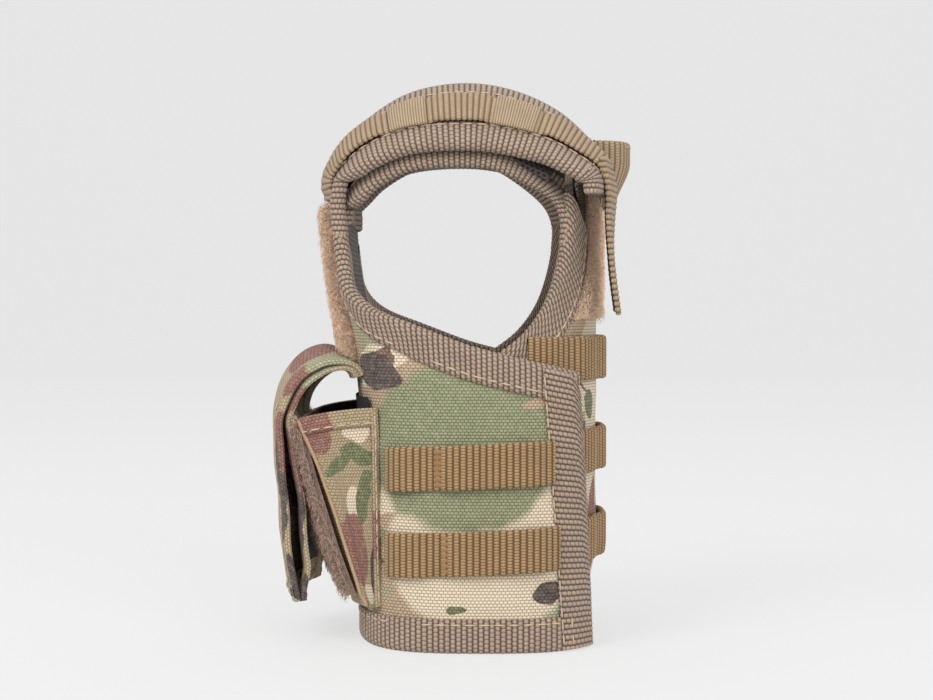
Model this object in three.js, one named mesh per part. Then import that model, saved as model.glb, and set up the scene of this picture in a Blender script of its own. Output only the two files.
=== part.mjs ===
// Miniature load-carrying vest, worn by a bottle or can as a sleeve.
// Millimetres, +Z up. The vest stands on its bottom hem at z = 0 and its front faces -Y.
// Left and right are the wearer's: left is +X.
import * as THREE from 'three';

// ---------- driving dimensions ----------
const bodyHalfWidth = 32.5;       // reference outline, between the back panel and the wings
const outlinePower = 3;           // 2 is an ellipse, larger is squarer
const layerGap = 0.3;             // clearance between pieces that touch
const hemHeight = 10;             // bottom binding
const bindingThickness = 4.4;
const coreThickness = 1.7;        // foam sheet
const skinThickness = 0.7;        // woven shell and mesh lining
const webbingWidth = 12.7;        // half scale of the usual 25.4 mm webbing
const webbingThickness = 1.8;
const patchThickness = 1.6;       // loop fuzz on its backing
const frontRows = 9;              // steps up the front panel's slabs

const frontTop = 133;
const backTop = 147;
const frontLean = 7.5;            // how far the chest leans forward at the top
const chestFlatFrom = 86;         // above this height the chest flattens across,
const chestFlatTo = 110;          // and from here up it is flat
const wingStart = 35;             // distances round the outline from the front centre
const wingEndBindingStart = 76.5;
const wingEnd = 90;
const backReach = 52;             // the back panel's side edges, measured from the back centre
const rowSlope = 0.05;            // the wing rows climb a little towards the back

const strapHalfWidth = 15;        // at the shoulder
const strapEndHalfWidth = 11.5;
const strapBindingWidth = 7;
const strapPadThickness = 3;
const strapPeakTilt = 0.8;        // sideways fall of the strap over the shoulder
const innerStrapThickness = 2.4;
const tabThickness = 1.8;
const handleReach = 9.3;          // half the drag handle's span
const handleHeight = 20;
const handleBulge = 11;

const pouchHalfWidth = 28;
const pouchBottom = 12;
const pouchTop = 71;
const pouchFrontTopY = -54;
const pouchWall = 1;
const flapHalfWidth = 23;
const flapThickness = 1.8;
const flapCrown = 4;              // the middle of the flap stands forward of its edges
const flapFoldCrown = 0.3;        // share of that crown at the fold, where the flap turns down

// ---------- materials ----------
const material = (colour, roughness) => (
  new THREE.MeshStandardMaterial({ color: colour, roughness, metalness: 0 })
);
const camoFabric = material(0xa89878, 0.9);
const bindingTape = material(0x7d6e5c, 0.92);
const coyoteWebbing = material(0x8a6a36, 0.85);
const loopFuzz = material(0xb58a63, 1);
const meshLining = material(0x3a3632, 0.95);
const foam = material(0x4a4a48, 1);
const blackHook = material(0x1d1c20, 0.9);

// ---------- small helpers ----------
const vest = new THREE.Group();
const mix = THREE.MathUtils.lerp;
const smooth = THREE.MathUtils.smoothstep;

// Closed solid from a grid: at(u, v, side) gives the inner face at side 0 and the outer face at side 1.
function gridSolid(name, across, up, at, finish) {
  const corners = [];
  const index = (i, j, side) => (i * (up + 1) + j) * 2 + side;
  for (let i = 0; i <= across; i += 1) {
    for (let j = 0; j <= up; j += 1) {
      corners.push(at(i / across, j / up, 0), at(i / across, j / up, 1));
    }
  }
  const triangles = [];
  const quad = (a, b, c, d) => triangles.push(a, b, c, a, c, d);
  for (let i = 0; i < across; i += 1) {
    for (let j = 0; j < up; j += 1) {
      quad(index(i, j, 1), index(i + 1, j, 1), index(i + 1, j + 1, 1), index(i, j + 1, 1));
      quad(index(i, j, 0), index(i, j + 1, 0), index(i + 1, j + 1, 0), index(i + 1, j, 0));
    }
    quad(index(i, 0, 0), index(i + 1, 0, 0), index(i + 1, 0, 1), index(i, 0, 1));
    quad(index(i, up, 1), index(i + 1, up, 1), index(i + 1, up, 0), index(i, up, 0));
  }
  for (let j = 0; j < up; j += 1) {
    quad(index(0, j, 1), index(0, j + 1, 1), index(0, j + 1, 0), index(0, j, 0));
    quad(index(across, j, 0), index(across, j + 1, 0), index(across, j + 1, 1), index(across, j, 1));
  }
  let volume = 0;
  for (let k = 0; k < triangles.length; k += 3) {
    const [a, b, c] = [corners[triangles[k]], corners[triangles[k + 1]], corners[triangles[k + 2]]];
    volume += a.dot(new THREE.Vector3().crossVectors(b, c));
  }
  if (volume < 0) {
    triangles.reverse();
  }
  const geometry = new THREE.BufferGeometry();
  const coordinates = corners.flatMap((p) => [p.x, p.y, p.z]);
  geometry.setAttribute('position', new THREE.Float32BufferAttribute(coordinates, 3));
  geometry.setIndex(triangles);
  geometry.computeVertexNormals();
  const mesh = new THREE.Mesh(geometry, finish);
  mesh.name = name;
  vest.add(mesh);
}

// ---------- the body outline ----------
// The reference outline is a superellipse. Distances round it start at the front centre
// and grow towards the wearer's left.
const panelFoot = hemHeight + layerGap;
const outlineSteps = 720;
const outlineLengths = [0];
const outlineAt = (angle) => {
  const [sx, sy] = [Math.sin(angle), -Math.cos(angle)];
  const spread = Math.abs(sx) ** outlinePower + Math.abs(sy) ** outlinePower;
  const radius = bodyHalfWidth / spread ** (1 / outlinePower);
  return new THREE.Vector2(sx * radius, sy * radius);
};
for (let i = 1; i <= outlineSteps; i += 1) {
  const step = (2 * Math.PI) / outlineSteps;
  outlineLengths.push(outlineLengths[i - 1] + outlineAt(i * step).distanceTo(outlineAt((i - 1) * step)));
}
const girth = outlineLengths[outlineSteps];
const backCentre = girth / 2;
const sideCentre = girth / 4;

function outlineByDistance(distance) {
  const wrapped = ((distance % girth) + girth) % girth;
  let i = Math.min(outlineSteps - 1, Math.floor((wrapped / girth) * outlineSteps));
  while (outlineLengths[i] > wrapped) {
    i -= 1;
  }
  while (outlineLengths[i + 1] < wrapped) {
    i += 1;
  }
  const part = (wrapped - outlineLengths[i]) / (outlineLengths[i + 1] - outlineLengths[i]);
  return outlineAt(((i + part) * 2 * Math.PI) / outlineSteps);
}

const leanAt = (z) => frontLean * smooth(z, 60, 140);
const chestFlatAt = (fromFront, z) => smooth(z, chestFlatFrom, chestFlatTo) * (1 - smooth(fromFront, 26, 38));

// A point on the wrapped body: distance round the outline, height, and offset outward from it.
function bodyPoint(distance, z, offset) {
  const p = outlineByDistance(distance);
  const fromFront = Math.abs(((distance + girth / 2) % girth) - girth / 2);
  const flat = chestFlatAt(fromFront, z);
  const normal = new THREE.Vector2(
    Math.sign(p.x) * Math.abs(p.x) ** (outlinePower - 1) * (1 - flat),
    mix(Math.sign(p.y) * Math.abs(p.y) ** (outlinePower - 1), -(bodyHalfWidth ** (outlinePower - 1)), flat),
  ).normalize();
  const y = mix(p.y, -bodyHalfWidth, flat) - leanAt(z) * (1 - smooth(fromFront, 26, 62));
  return new THREE.Vector3(p.x + normal.x * offset, y + normal.y * offset, z);
}

// Slab on the body from columns of [distance, low, high], measured from a centre line.
function panelSlab(name, centre, columns, rows, [inner, outer], finish) {
  const at = (u, v, side) => {
    const [distance, low, high] = columns[Math.round(u * (columns.length - 1))];
    return bodyPoint(centre + distance, mix(low, high, v), side ? outer : inner);
  };
  gridSolid(name, columns.length - 1, rows, at, finish);
}

// Band on the body between two edge curves of (distance, height) points.
function edgeBand(name, centre, outerEdge, innerEdge, steps, [inner, outer], finish) {
  const [rim, seam] = [new THREE.SplineCurve(outerEdge), new THREE.SplineCurve(innerEdge)];
  const at = (u, v, side) => {
    const p = rim.getPointAt(u).lerp(seam.getPointAt(u), v);
    return bodyPoint(centre + p.x, p.y, side ? outer : inner);
  };
  gridSolid(name, steps, 1, at, finish);
}

const points = (pairs, sign = 1) => pairs.map(([distance, z]) => new THREE.Vector2(sign * distance, z));
const evenColumns = (from, to, steps, low, high) => {
  const columns = [];
  for (let i = 0; i <= steps; i += 1) {
    const distance = mix(from, to, i / steps);
    columns.push([distance, low(distance), high(distance)]);
  }
  return columns;
};
const always = (value) => () => value;

// Panel columns that follow a binding's seam just inside it, from the neck out to the panel's reach.
function seamColumns(seam, steps, reach) {
  const clear = layerGap * 1.4;
  const inside = new THREE.SplineCurve(seam).getSpacedPoints(steps);
  return inside.map((p) => [Math.min(Math.abs(p.x) - clear, reach), panelFoot, p.y - clear]);
}
const bothSides = (half) => [...half.slice(1).reverse().map(([d, low, high]) => [-d, low, high]), ...half];
const flipped = (columns, sign) => columns.map(([distance, low, high]) => [sign * distance, low, high]);
const sides = [['left', 1], ['right', -1]];
const frontSeamSteps = 9;         // steps along each armhole, shared by the panel and its binding
const wingSeamSteps = 8;
const wingHookFrom = 4;           // the step where the wing's mesh lining gives way to the hook patch
const backSeamSteps = 12;

// Layer offsets. The front and the wings lie outside the reference outline, the back lies inside it.
const outward = (start, thickness) => [start, start + thickness];
const frontLiningAt = outward(layerGap, skinThickness);
const frontCoreAt = outward(frontLiningAt[1] + layerGap, coreThickness);
const frontShellAt = outward(frontCoreAt[1] + layerGap, skinThickness);
const frontBindingAt = outward(layerGap, bindingThickness);
const onFront = frontShellAt[1] + layerGap;
const backShellAt = outward(-skinThickness, skinThickness);
const backCoreAt = outward(backShellAt[0] - layerGap - coreThickness, coreThickness);
const backLiningAt = outward(backCoreAt[0] - layerGap - skinThickness, skinThickness);
const backBindingAt = outward(-bindingThickness, bindingThickness);
const onBack = layerGap;

// ---------- front panel ----------
function makeFrontPanel() {
  const reach = wingStart - layerGap;
  const neckSeam = frontTop - 6;
  const seam = [[17.5, neckSeam], [18.9, 111], [22, 100.5], [27, 92.5], [reach, 87.2]];
  const middle = [[0, panelFoot, neckSeam], [9, panelFoot, neckSeam]];
  const columns = bothSides([...middle, ...seamColumns(points(seam), frontSeamSteps, reach)]);
  panelSlab('front_lining', 0, columns, frontRows, frontLiningAt, meshLining);
  panelSlab('front_core', 0, columns, frontRows, frontCoreAt, foam);
  panelSlab('front_shell', 0, columns, frontRows, frontShellAt, camoFabric);
  const hem = evenColumns(-reach, reach, 14, always(0), always(hemHeight));
  panelSlab('front_hem_binding', 0, hem, 1, frontBindingAt, bindingTape);
  const neck = evenColumns(-16.8, 16.8, 6, always(neckSeam + layerGap), always(frontTop));
  panelSlab('front_neck_binding', 0, neck, 1, frontBindingAt, bindingTape);
  for (const [side, sign] of sides) {
    const rim = points([[27.2, frontTop], [27.3, 117], [28.6, 107.5], [31, 101.2], [reach, 97.2]], sign);
    edgeBand(`${side}_front_armhole_binding`, 0, rim, points(seam, sign), frontSeamSteps, frontBindingAt,
      bindingTape);
  }
  const patch = evenColumns(-16.5, 16.5, 6, always(84), always(neckSeam - 1));
  panelSlab('chest_loop_patch', 0, patch, 4, outward(onFront, patchThickness), loopFuzz);
}

// ---------- wings: the front panel's side flaps that wrap over the back panel ----------
function makeWing(side, sign) {
  const start = wingStart + layerGap;
  const end = wingEndBindingStart - layerGap;
  const topSeam = [[start, 87], [42, 83.3], [52, 79.3], [64, 76.1], [end, 73.3]];
  const columns = flipped(seamColumns(points(topSeam), wingSeamSteps, end), sign);
  columns[0][0] = sign * start;
  panelSlab(`${side}_wing_core`, 0, columns, 4, frontCoreAt, foam);
  panelSlab(`${side}_wing_shell`, 0, columns, 4, frontShellAt, camoFabric);
  const rim = points([[start, 97], [42, 93.6], [52, 89.3], [64, 86], [end, 83.3]], sign);
  edgeBand(`${side}_wing_top_binding`, 0, rim, points(topSeam, sign), wingSeamSteps, frontBindingAt,
    bindingTape);
  const hem = flipped(evenColumns(start, end, 8, always(0), always(hemHeight)), sign);
  panelSlab(`${side}_wing_hem_binding`, 0, hem, 1, frontBindingAt, bindingTape);
  const endHalf = [[wingEndBindingStart, 83.2], [81, 82.4], [85.5, 81], [88.5, 79], [wingEnd, 75.5]];
  const endColumns = flipped(endHalf.map(([distance, high]) => [distance, 0, high]), sign);
  panelSlab(`${side}_wing_end_binding`, 0, endColumns, 1, frontBindingAt, bindingTape);
  const hookColumns = columns.slice(wingHookFrom).map((column) => [...column]);
  hookColumns[0][0] += sign * layerGap;
  panelSlab(`${side}_wing_lining`, 0, columns.slice(0, wingHookFrom + 1), 4, frontLiningAt, meshLining);
  panelSlab(`${side}_wing_hook_patch`, 0, hookColumns, 4, frontLiningAt, blackHook);
  for (const [label, foot] of [['upper', 47], ['lower', 22]]) {
    const rise = (distance) => foot + (distance - start) * rowSlope;
    const row = flipped(evenColumns(start, end, 8, rise, (d) => rise(d) + webbingWidth), sign);
    panelSlab(`${side}_wing_webbing_${label}`, 0, row, 1, outward(onFront, webbingThickness), coyoteWebbing);
  }
}

// ---------- back panel ----------
function makeBackPanel() {
  const neckSeam = backTop - 7;
  const seam = [[14.5, neckSeam], [16.9, 118], [20.4, 106.3], [31.4, 90.4], [44.2, 78.5], [backReach, 73.3]];
  const middle = [[0, panelFoot, neckSeam], [7, panelFoot, neckSeam]];
  const columns = bothSides([...middle, ...seamColumns(points(seam), backSeamSteps, backReach)]);
  panelSlab('back_lining', backCentre, columns, 5, backLiningAt, meshLining);
  panelSlab('back_core', backCentre, columns, 5, backCoreAt, foam);
  panelSlab('back_shell', backCentre, columns, 5, backShellAt, camoFabric);
  const hem = evenColumns(-backReach, backReach, 20, always(0), always(hemHeight));
  panelSlab('back_hem_binding', backCentre, hem, 1, backBindingAt, bindingTape);
  const neck = evenColumns(-13.8, 13.8, 5, always(neckSeam + layerGap), always(backTop));
  panelSlab('back_neck_binding', backCentre, neck, 1, backBindingAt, bindingTape);
  for (const [side, sign] of sides) {
    const edge = [[25.2, backTop - 5], [26.8, 132], [28.6, 118], [33.8, 104], [42, 93], [backReach, 85.5]];
    const rim = points(edge, -sign);
    edgeBand(`${side}_back_armhole_binding`, backCentre, rim, points(seam, -sign), backSeamSteps,
      backBindingAt, bindingTape);
  }
  const patch = evenColumns(-15.5, 15.5, 6, always(98), always(131));
  panelSlab('back_loop_patch', backCentre, patch, 1, outward(onBack, patchThickness), loopFuzz);
  const rowReach = girth / 2 - wingEnd - 1.5;
  for (const [label, foot] of [['upper', 79], ['middle', 53.5], ['lower', 28]]) {
    const row = evenColumns(-rowReach, rowReach, 10, always(foot), always(foot + webbingWidth));
    panelSlab(`back_webbing_${label}`, backCentre, row, 1, outward(onBack, webbingThickness), coyoteWebbing);
  }
}

// ---------- shoulder straps ----------
// Centre line of the outer strap, from the front panel's top over the shoulder to the back.
const shoulderLine = new THREE.CatmullRomCurve3([
  new THREE.Vector3(17, -42.3, 135),
  new THREE.Vector3(17.4, -41.8, 140),
  new THREE.Vector3(21, -35.5, 149),
  new THREE.Vector3(24.5, -20, 155.5),
  new THREE.Vector3(25, 0, 156.6),
  new THREE.Vector3(25, 17.5, 152.3),
  new THREE.Vector3(24.5, 29, 146.6),
  new THREE.Vector3(24, 34.3, 140.3),
  new THREE.Vector3(24, 34.8, 133.5),
]);

// A point on a strap: part of its length, distance from its middle towards the arm, and height
// above its middle.
function strapPoint(sign, along, across, above) {
  const centre = shoulderLine.getPointAt(along);
  const tangent = shoulderLine.getTangentAt(along);
  const overShoulder = Math.sin(Math.PI * along);
  const turn = 0.2 * Math.cos(Math.PI * along) - 0.1;
  const towardsArm = new THREE.Vector3(1, turn, -strapPeakTilt * overShoulder);
  towardsArm.addScaledVector(tangent, -towardsArm.dot(tangent)).normalize();
  const normal = new THREE.Vector3().crossVectors(towardsArm, tangent);
  const p = centre.addScaledVector(towardsArm, across).addScaledVector(normal, above);
  return new THREE.Vector3(p.x * sign, p.y, p.z);
}

const strapEdge = (along) => mix(strapEndHalfWidth, strapHalfWidth, Math.sin(Math.PI * along));

function strapSlab(name, sign, [from, to], steps, inside, outside, [low, high], finish) {
  const at = (u, v, side) => {
    const along = mix(from, to, u);
    return strapPoint(sign, along, mix(inside(along), outside(along), v), side ? high : low);
  };
  gridSolid(name, steps, 1, at, finish);
}

const padAt = [-strapPadThickness / 2, strapPadThickness / 2];
const strapBindingAt = [padAt[0] - 0.3, padAt[1] + 0.5];
const strapWebbingAt = outward(strapBindingAt[1] + layerGap, webbingThickness);
const keeperAt = outward(strapWebbingAt[1] + layerGap, 1);
const webbingEnd = 0.93;
const innerStrapAt = outward(strapBindingAt[0] - 1 - innerStrapThickness, innerStrapThickness);
const innerStrapTip = 0.09;
const innerStrapRoot = 0.74;

function makeShoulderStrap(side, sign) {
  const seam = (along) => strapEdge(along) - strapBindingWidth;
  const full = [0, 1];
  const padEdge = (along) => seam(along) - layerGap;
  strapSlab(`${side}_strap_pad`, sign, full, 18, (t) => -padEdge(t), padEdge, padAt, foam);
  strapSlab(`${side}_strap_arm_binding`, sign, full, 18, seam, strapEdge, strapBindingAt, bindingTape);
  strapSlab(`${side}_strap_neck_binding`, sign, full, 18, (t) => -strapEdge(t), (t) => -seam(t),
    strapBindingAt, bindingTape);
  const [webbingInside, webbingOutside] = [always(-webbingWidth / 2), always(webbingWidth / 2)];
  strapSlab(`${side}_strap_webbing`, sign, [0, webbingEnd], 18, webbingInside, webbingOutside, strapWebbingAt,
    coyoteWebbing);
  for (const [label, from] of [['front', 0.3], ['rear', 0.61]]) {
    strapSlab(`${side}_strap_keeper_${label}`, sign, [from, from + 0.1], 3, webbingInside, webbingOutside, keeperAt,
      coyoteWebbing);
  }
  // The inner strap grows out of the back panel and ends in a point behind the chest.
  const point = (along) => mix(0.35, 1, smooth(along, innerStrapTip, innerStrapTip + 0.09));
  const innerEdge = (along) => (strapEdge(along) - 1) * point(along);
  strapSlab(`${side}_inner_strap`, sign, [innerStrapTip, innerStrapRoot], 16, (t) => -innerEdge(t), innerEdge,
    innerStrapAt, bindingTape);
}

// Strip swept straight across in x, along part of a path of (y, z) points, between two offsets from the path.
// shift(x, u) moves it in y.
function crossStrip(name, path, [from, to], [steps, across], [fromX, toX], [low, high], shift, finish) {
  const curve = new THREE.SplineCurve(points(path));
  const at = (u, v, side) => {
    const along = mix(from, to, u);
    const p = curve.getPointAt(along);
    const t = curve.getTangentAt(along);
    const x = mix(fromX, toX, v);
    const reach = side ? high : low;
    return new THREE.Vector3(x, p.x - t.y * reach + shift(x, along), p.y + t.x * reach);
  };
  gridSolid(name, steps, across, at, finish);
}

// The loose end of the strap webbing, hanging down the back.
function makeStrapTab(side, sign) {
  const middle = sign * 24;
  const path = [[38.5, 139], [38.9, 132], [38.4, 121], [38.6, 110], [39.8, 98]];
  const withStrap = (x) => 0.3 * (24 - sign * x);
  const span = [middle - webbingWidth / 2, middle + webbingWidth / 2];
  const faces = [-tabThickness / 2, tabThickness / 2];
  crossStrip(`${side}_strap_tab`, path, [0, 1], [6, 1], span, faces, withStrap, coyoteWebbing);
}

// Webbing loop across the top of the back, for two fingers.
function makeDragHandle() {
  const low = backTop - handleHeight + 4;
  const [rootY, shoulderY, tipY] = [1.4, 8, handleBulge].map((reach) => bodyHalfWidth + reach);
  const shoulderX = handleReach * 0.72;
  const half = [[-handleReach, rootY], [-shoulderX, shoulderY]];
  const otherHalf = [[shoulderX, shoulderY], [handleReach, rootY]];
  const plan = new THREE.SplineCurve(points([...half, [0, tipY], ...otherHalf]));
  const at = (u, v, side) => {
    const p = plan.getPointAt(u);
    const t = plan.getTangentAt(u);
    const reach = side * webbingThickness;
    return new THREE.Vector3(p.x - t.y * reach, p.y + t.x * reach, low + v * handleHeight);
  };
  gridSolid('drag_handle', 12, 1, at, coyoteWebbing);
}

// ---------- pouch ----------
// How far forward the vest's front surface stands at x, with an offset outside the shell.
function frontSurfaceY(x, z, offset) {
  const half = bodyHalfWidth + onFront + offset;
  return -half * (1 - (Math.abs(x) / half) ** outlinePower) ** (1 / outlinePower) - leanAt(z);
}

// The pouch is a wedge: shut at the bottom, where it lies on the vest, and deep at the top.
function pouchFrontY(x, z, inset) {
  const rise = (z - pouchBottom) / (pouchTop - pouchBottom);
  return mix(frontSurfaceY(x, z, 2.8), pouchFrontTopY, Math.max(0, rise)) + inset;
}

function makePouch() {
  const wallAt = (u, v, side) => {
    const z = mix(pouchBottom, pouchTop, v);
    const inset = side ? 0 : pouchWall;
    const half = pouchHalfWidth - inset;
    const round = 0.5 + 3 * v;
    const rear = frontSurfaceY(pouchHalfWidth, z, 0);
    const corner = pouchFrontY(pouchHalfWidth, z, inset);
    const profile = [[half, rear], [half, mix(rear, corner, 0.5)], [half, Math.min(rear, corner + round)],
      [half - round, corner], [half * 0.6, pouchFrontY(half * 0.6, z, inset)],
      [half * 0.3, pouchFrontY(half * 0.3, z, inset)], [0, pouchFrontY(0, z, inset)]];
    const outline = [...profile, ...profile.slice(0, -1).reverse().map(([x, y]) => [-x, y])];
    const [x, y] = outline[Math.round(u * (outline.length - 1))];
    return new THREE.Vector3(x, y, z);
  };
  gridSolid('pouch_body', 12, 4, wallAt, camoFabric);

  const backAt = (u, v, side) => {
    const x = mix(-25.5, 25.5, u);
    const z = mix(pouchBottom, pouchTop + 3, v);
    return new THREE.Vector3(x, frontSurfaceY(x, z, side ? 1 : 0), z);
  };
  gridSolid('pouch_back', 8, 3, backAt, blackHook);

  const patchAt = (u, v, side) => {
    const x = mix(-21, 21, u);
    const z = mix(pouchBottom + 4, pouchTop - 3, v);
    return new THREE.Vector3(x, pouchFrontY(x, z, side ? -layerGap - patchThickness : -layerGap), z);
  };
  gridSolid('pouch_loop_patch', 6, 3, patchAt, loopFuzz);
}

function makeFlap() {
  const crown = (x) => -flapCrown * (1 - (x / flapHalfWidth) ** 2);
  const span = [-flapHalfWidth, flapHalfWidth];
  const faces = [-flapThickness / 2, flapThickness / 2];
  const rootPath = [[-39.2, 77.5], [-40.5, 81.5], [-43.4, 85], [-47.3, 86.8]];
  const rootCrown = (x, u) => crown(x) * flapFoldCrown * u;
  crossStrip('pouch_flap_root', rootPath, [0, 1], [4, 6], span, faces, rootCrown, camoFabric);
  const fold = [[-48.7, 86.6], [-53, 84.6], [-56.2, 79]];
  const flapPath = [...fold, [-57.2, 70], [-56.4, 52], [-53.6, 32], [-50, 13.5]];
  const growing = (x, u) => crown(x) * mix(flapFoldCrown, 1, smooth(u, 0, 0.3));
  crossStrip('pouch_flap', flapPath, [0, 1], [10, 6], span, faces, growing, camoFabric);
  const hookSpan = [-flapHalfWidth + 3, flapHalfWidth - 3];
  const hookFaces = [flapThickness / 2 + layerGap, flapThickness / 2 + layerGap + 1];
  crossStrip('pouch_flap_hook_patch', flapPath, [0.3, 0.97], [7, 6], hookSpan, hookFaces, growing, blackHook);
}

makeFrontPanel();
makeBackPanel();
for (const [side, sign] of sides) {
  makeWing(side, sign);
  makeShoulderStrap(side, sign);
  makeStrapTab(side, sign);
}
makeDragHandle();
makePouch();
makeFlap();

// The origin is at the middle of the whole object's footprint, on the surface it stands on.
const whole = new THREE.Box3().setFromObject(vest);
vest.position.set(0, -(whole.min.y + whole.max.y) / 2, 0);
vest.name = 'bottle_vest';
export default vest;
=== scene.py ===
"""Miniature load vest that dresses a bottle: cloth, webbing, bindings, stitching and materials.

Lengths below are millimetres in the vest's own layout, with the body's upright axis at x = y = 0.
to_frame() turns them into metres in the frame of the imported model. Left is the wearer's left, +X.
"""
import math
import bpy
import numpy as np
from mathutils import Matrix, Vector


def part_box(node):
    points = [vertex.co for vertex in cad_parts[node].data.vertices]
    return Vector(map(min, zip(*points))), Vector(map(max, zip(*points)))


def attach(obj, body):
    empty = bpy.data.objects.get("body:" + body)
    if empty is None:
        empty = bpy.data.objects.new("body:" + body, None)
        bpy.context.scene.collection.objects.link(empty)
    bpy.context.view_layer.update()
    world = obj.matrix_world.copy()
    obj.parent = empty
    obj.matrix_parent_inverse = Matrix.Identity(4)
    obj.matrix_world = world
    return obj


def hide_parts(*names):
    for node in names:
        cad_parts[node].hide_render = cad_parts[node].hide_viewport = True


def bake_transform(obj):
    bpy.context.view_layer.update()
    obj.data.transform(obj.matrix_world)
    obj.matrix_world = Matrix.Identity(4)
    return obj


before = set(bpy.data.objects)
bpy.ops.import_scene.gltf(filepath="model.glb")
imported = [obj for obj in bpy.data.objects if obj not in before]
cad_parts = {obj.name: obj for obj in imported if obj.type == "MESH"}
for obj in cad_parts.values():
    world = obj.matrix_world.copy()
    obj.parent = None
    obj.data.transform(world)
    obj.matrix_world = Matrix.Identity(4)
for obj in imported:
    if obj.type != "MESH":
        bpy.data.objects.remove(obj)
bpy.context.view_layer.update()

MM = 0.001
LEFT, RIGHT = 1, -1
SIDE_NAMES = {LEFT: "left", RIGHT: "right"}

# ---------- the vest's layout, as in the CAD ----------
BODY_HALF = 32.5            # reference outline, between the back panel and the wings
OUTLINE_POWER = 3
FRONT_TOP = 133
BACK_TOP = 147
HEM_HEIGHT = 10
FRONT_LEAN = 7.5
WEBBING_WIDTH = 12.7
BODY_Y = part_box("back_hem_binding")[1].y / MM - BODY_HALF   # the body axis in the frame

FRONT_MID = 2.6             # offset of the middle of the front and wing cloth from the outline
BACK_MID = -2.2
BACK_FULLNESS = 3.0         # the back panel swells this far between its bindings
STRAP_HALF_WIDTH = 15
STRAP_END_HALF_WIDTH = 11.5
STRAP_TILT = 1.2            # over the shoulder the strap's arm edge drops by this share of the way across
STRAP_BEND = 0.025          # its cross-section curves down there, in radians per millimetre
STRAP_RISE = 0.4            # and its middle stands this much higher


def to_frame(points):
    """Millimetres in the vest's layout to metres in the frame."""
    return (np.asarray(points, float) + (0, BODY_Y, 0)) * MM


def smooth(x, low, high):
    t = np.clip((np.asarray(x, float) - low) / (high - low), 0, 1)
    return t * t * (3 - 2 * t)


def mix(a, b, t):
    return a + (b - a) * t


# ---------- outline of the body ----------
_angles = np.linspace(0, 2 * np.pi, 2881)
_radius = BODY_HALF / (np.abs(np.sin(_angles)) ** OUTLINE_POWER
                       + np.abs(np.cos(_angles)) ** OUTLINE_POWER) ** (1 / OUTLINE_POWER)
OUTLINE_X = np.sin(_angles) * _radius
OUTLINE_Y = -np.cos(_angles) * _radius
OUTLINE_LENGTHS = np.concatenate([[0], np.cumsum(np.hypot(np.diff(OUTLINE_X), np.diff(OUTLINE_Y)))])
GIRTH = OUTLINE_LENGTHS[-1]
BACK_CENTRE = GIRTH / 2


def lean_at(z):
    return FRONT_LEAN * smooth(z, 60, 140)


def chest_flat_at(from_front, z):
    """1 where the chest is flat across, near its top, and 0 where it follows the round outline."""
    return smooth(z, 86, 110) * (1 - smooth(from_front, 26, 38))


def body(distance, z, offset):
    """Points on the body: distance round the outline from the front centre, height, offset outward."""
    distance, z, offset = np.broadcast_arrays(*(np.asarray(v, float) for v in (distance, z, offset)))
    x = np.interp(distance % GIRTH, OUTLINE_LENGTHS, OUTLINE_X)
    y = np.interp(distance % GIRTH, OUTLINE_LENGTHS, OUTLINE_Y)
    from_front = np.abs((distance + GIRTH / 2) % GIRTH - GIRTH / 2)
    flat = chest_flat_at(from_front, z)
    normal_x = np.sign(x) * np.abs(x) ** (OUTLINE_POWER - 1) * (1 - flat)
    normal_y = np.sign(y) * np.abs(y) ** (OUTLINE_POWER - 1)
    normal_y = mix(normal_y, -BODY_HALF ** (OUTLINE_POWER - 1), flat)
    length = np.hypot(normal_x, normal_y)
    y = mix(y, -BODY_HALF, flat) - lean_at(z) * (1 - smooth(from_front, 26, 62))
    full = smooth(from_front, GIRTH / 2 - 22, GIRTH / 2 - 4) * smooth(z, 8, 30) * (1 - smooth(z, 126, 142))
    y += BACK_FULLNESS * full
    return np.stack([x + normal_x / length * offset, y + normal_y / length * offset, z], -1)


def catmull(points, t):
    """Catmull-Rom curve through points, the same as three.js draws it, at t from 0 to 1."""
    points = np.asarray(points, float)
    last = len(points) - 1
    t = np.clip(np.asarray(t, float), 0, 1) * last
    i = np.minimum(t.astype(int), last - 1)
    w = (t - i)[..., None]
    before, a = points[np.maximum(i - 1, 0)], points[i]
    b, after = points[i + 1], points[np.minimum(i + 2, last)]
    v0, v1 = (b - before) / 2, (after - a) / 2
    return (2 * a - 2 * b + v0 + v1) * w ** 3 + (-3 * a + 3 * b - 2 * v0 - v1) * w ** 2 + v0 * w + a


def along_path(points, t):
    """Places along a flat path and the unit directions there."""
    ahead = catmull(points, np.minimum(t + 0.01, 1)) - catmull(points, np.maximum(t - 0.01, 0))
    return catmull(points, t), ahead / np.linalg.norm(ahead, axis=-1, keepdims=True)


def even(curve, step, count=None):
    """Parameters spaced evenly along a curve given as curve(t) -> points, and the lengths there."""
    t = np.linspace(0, 1, 801)
    lengths = np.concatenate([[0], np.cumsum(np.linalg.norm(np.diff(curve(t), axis=0), axis=1))])
    count = count or max(4, int(round(lengths[-1] / step)))
    wanted = np.linspace(0, lengths[-1], count + 1)
    return np.interp(wanted, lengths, t), wanted


# ---------- mesh building ----------
def grid_mesh(name, points, uv, material):
    """One smooth mesh from a grid of points (rows, columns, 3) and texture places in millimetres."""
    rows, columns = points.shape[:2]
    index = np.arange(rows * columns).reshape(rows, columns)
    quads = np.stack([index[:-1, :-1], index[1:, :-1], index[1:, 1:], index[:-1, 1:]], -1).reshape(-1, 4)
    return raw_mesh(name, points.reshape(-1, 3), quads, uv.reshape(-1, 2), material)


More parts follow.
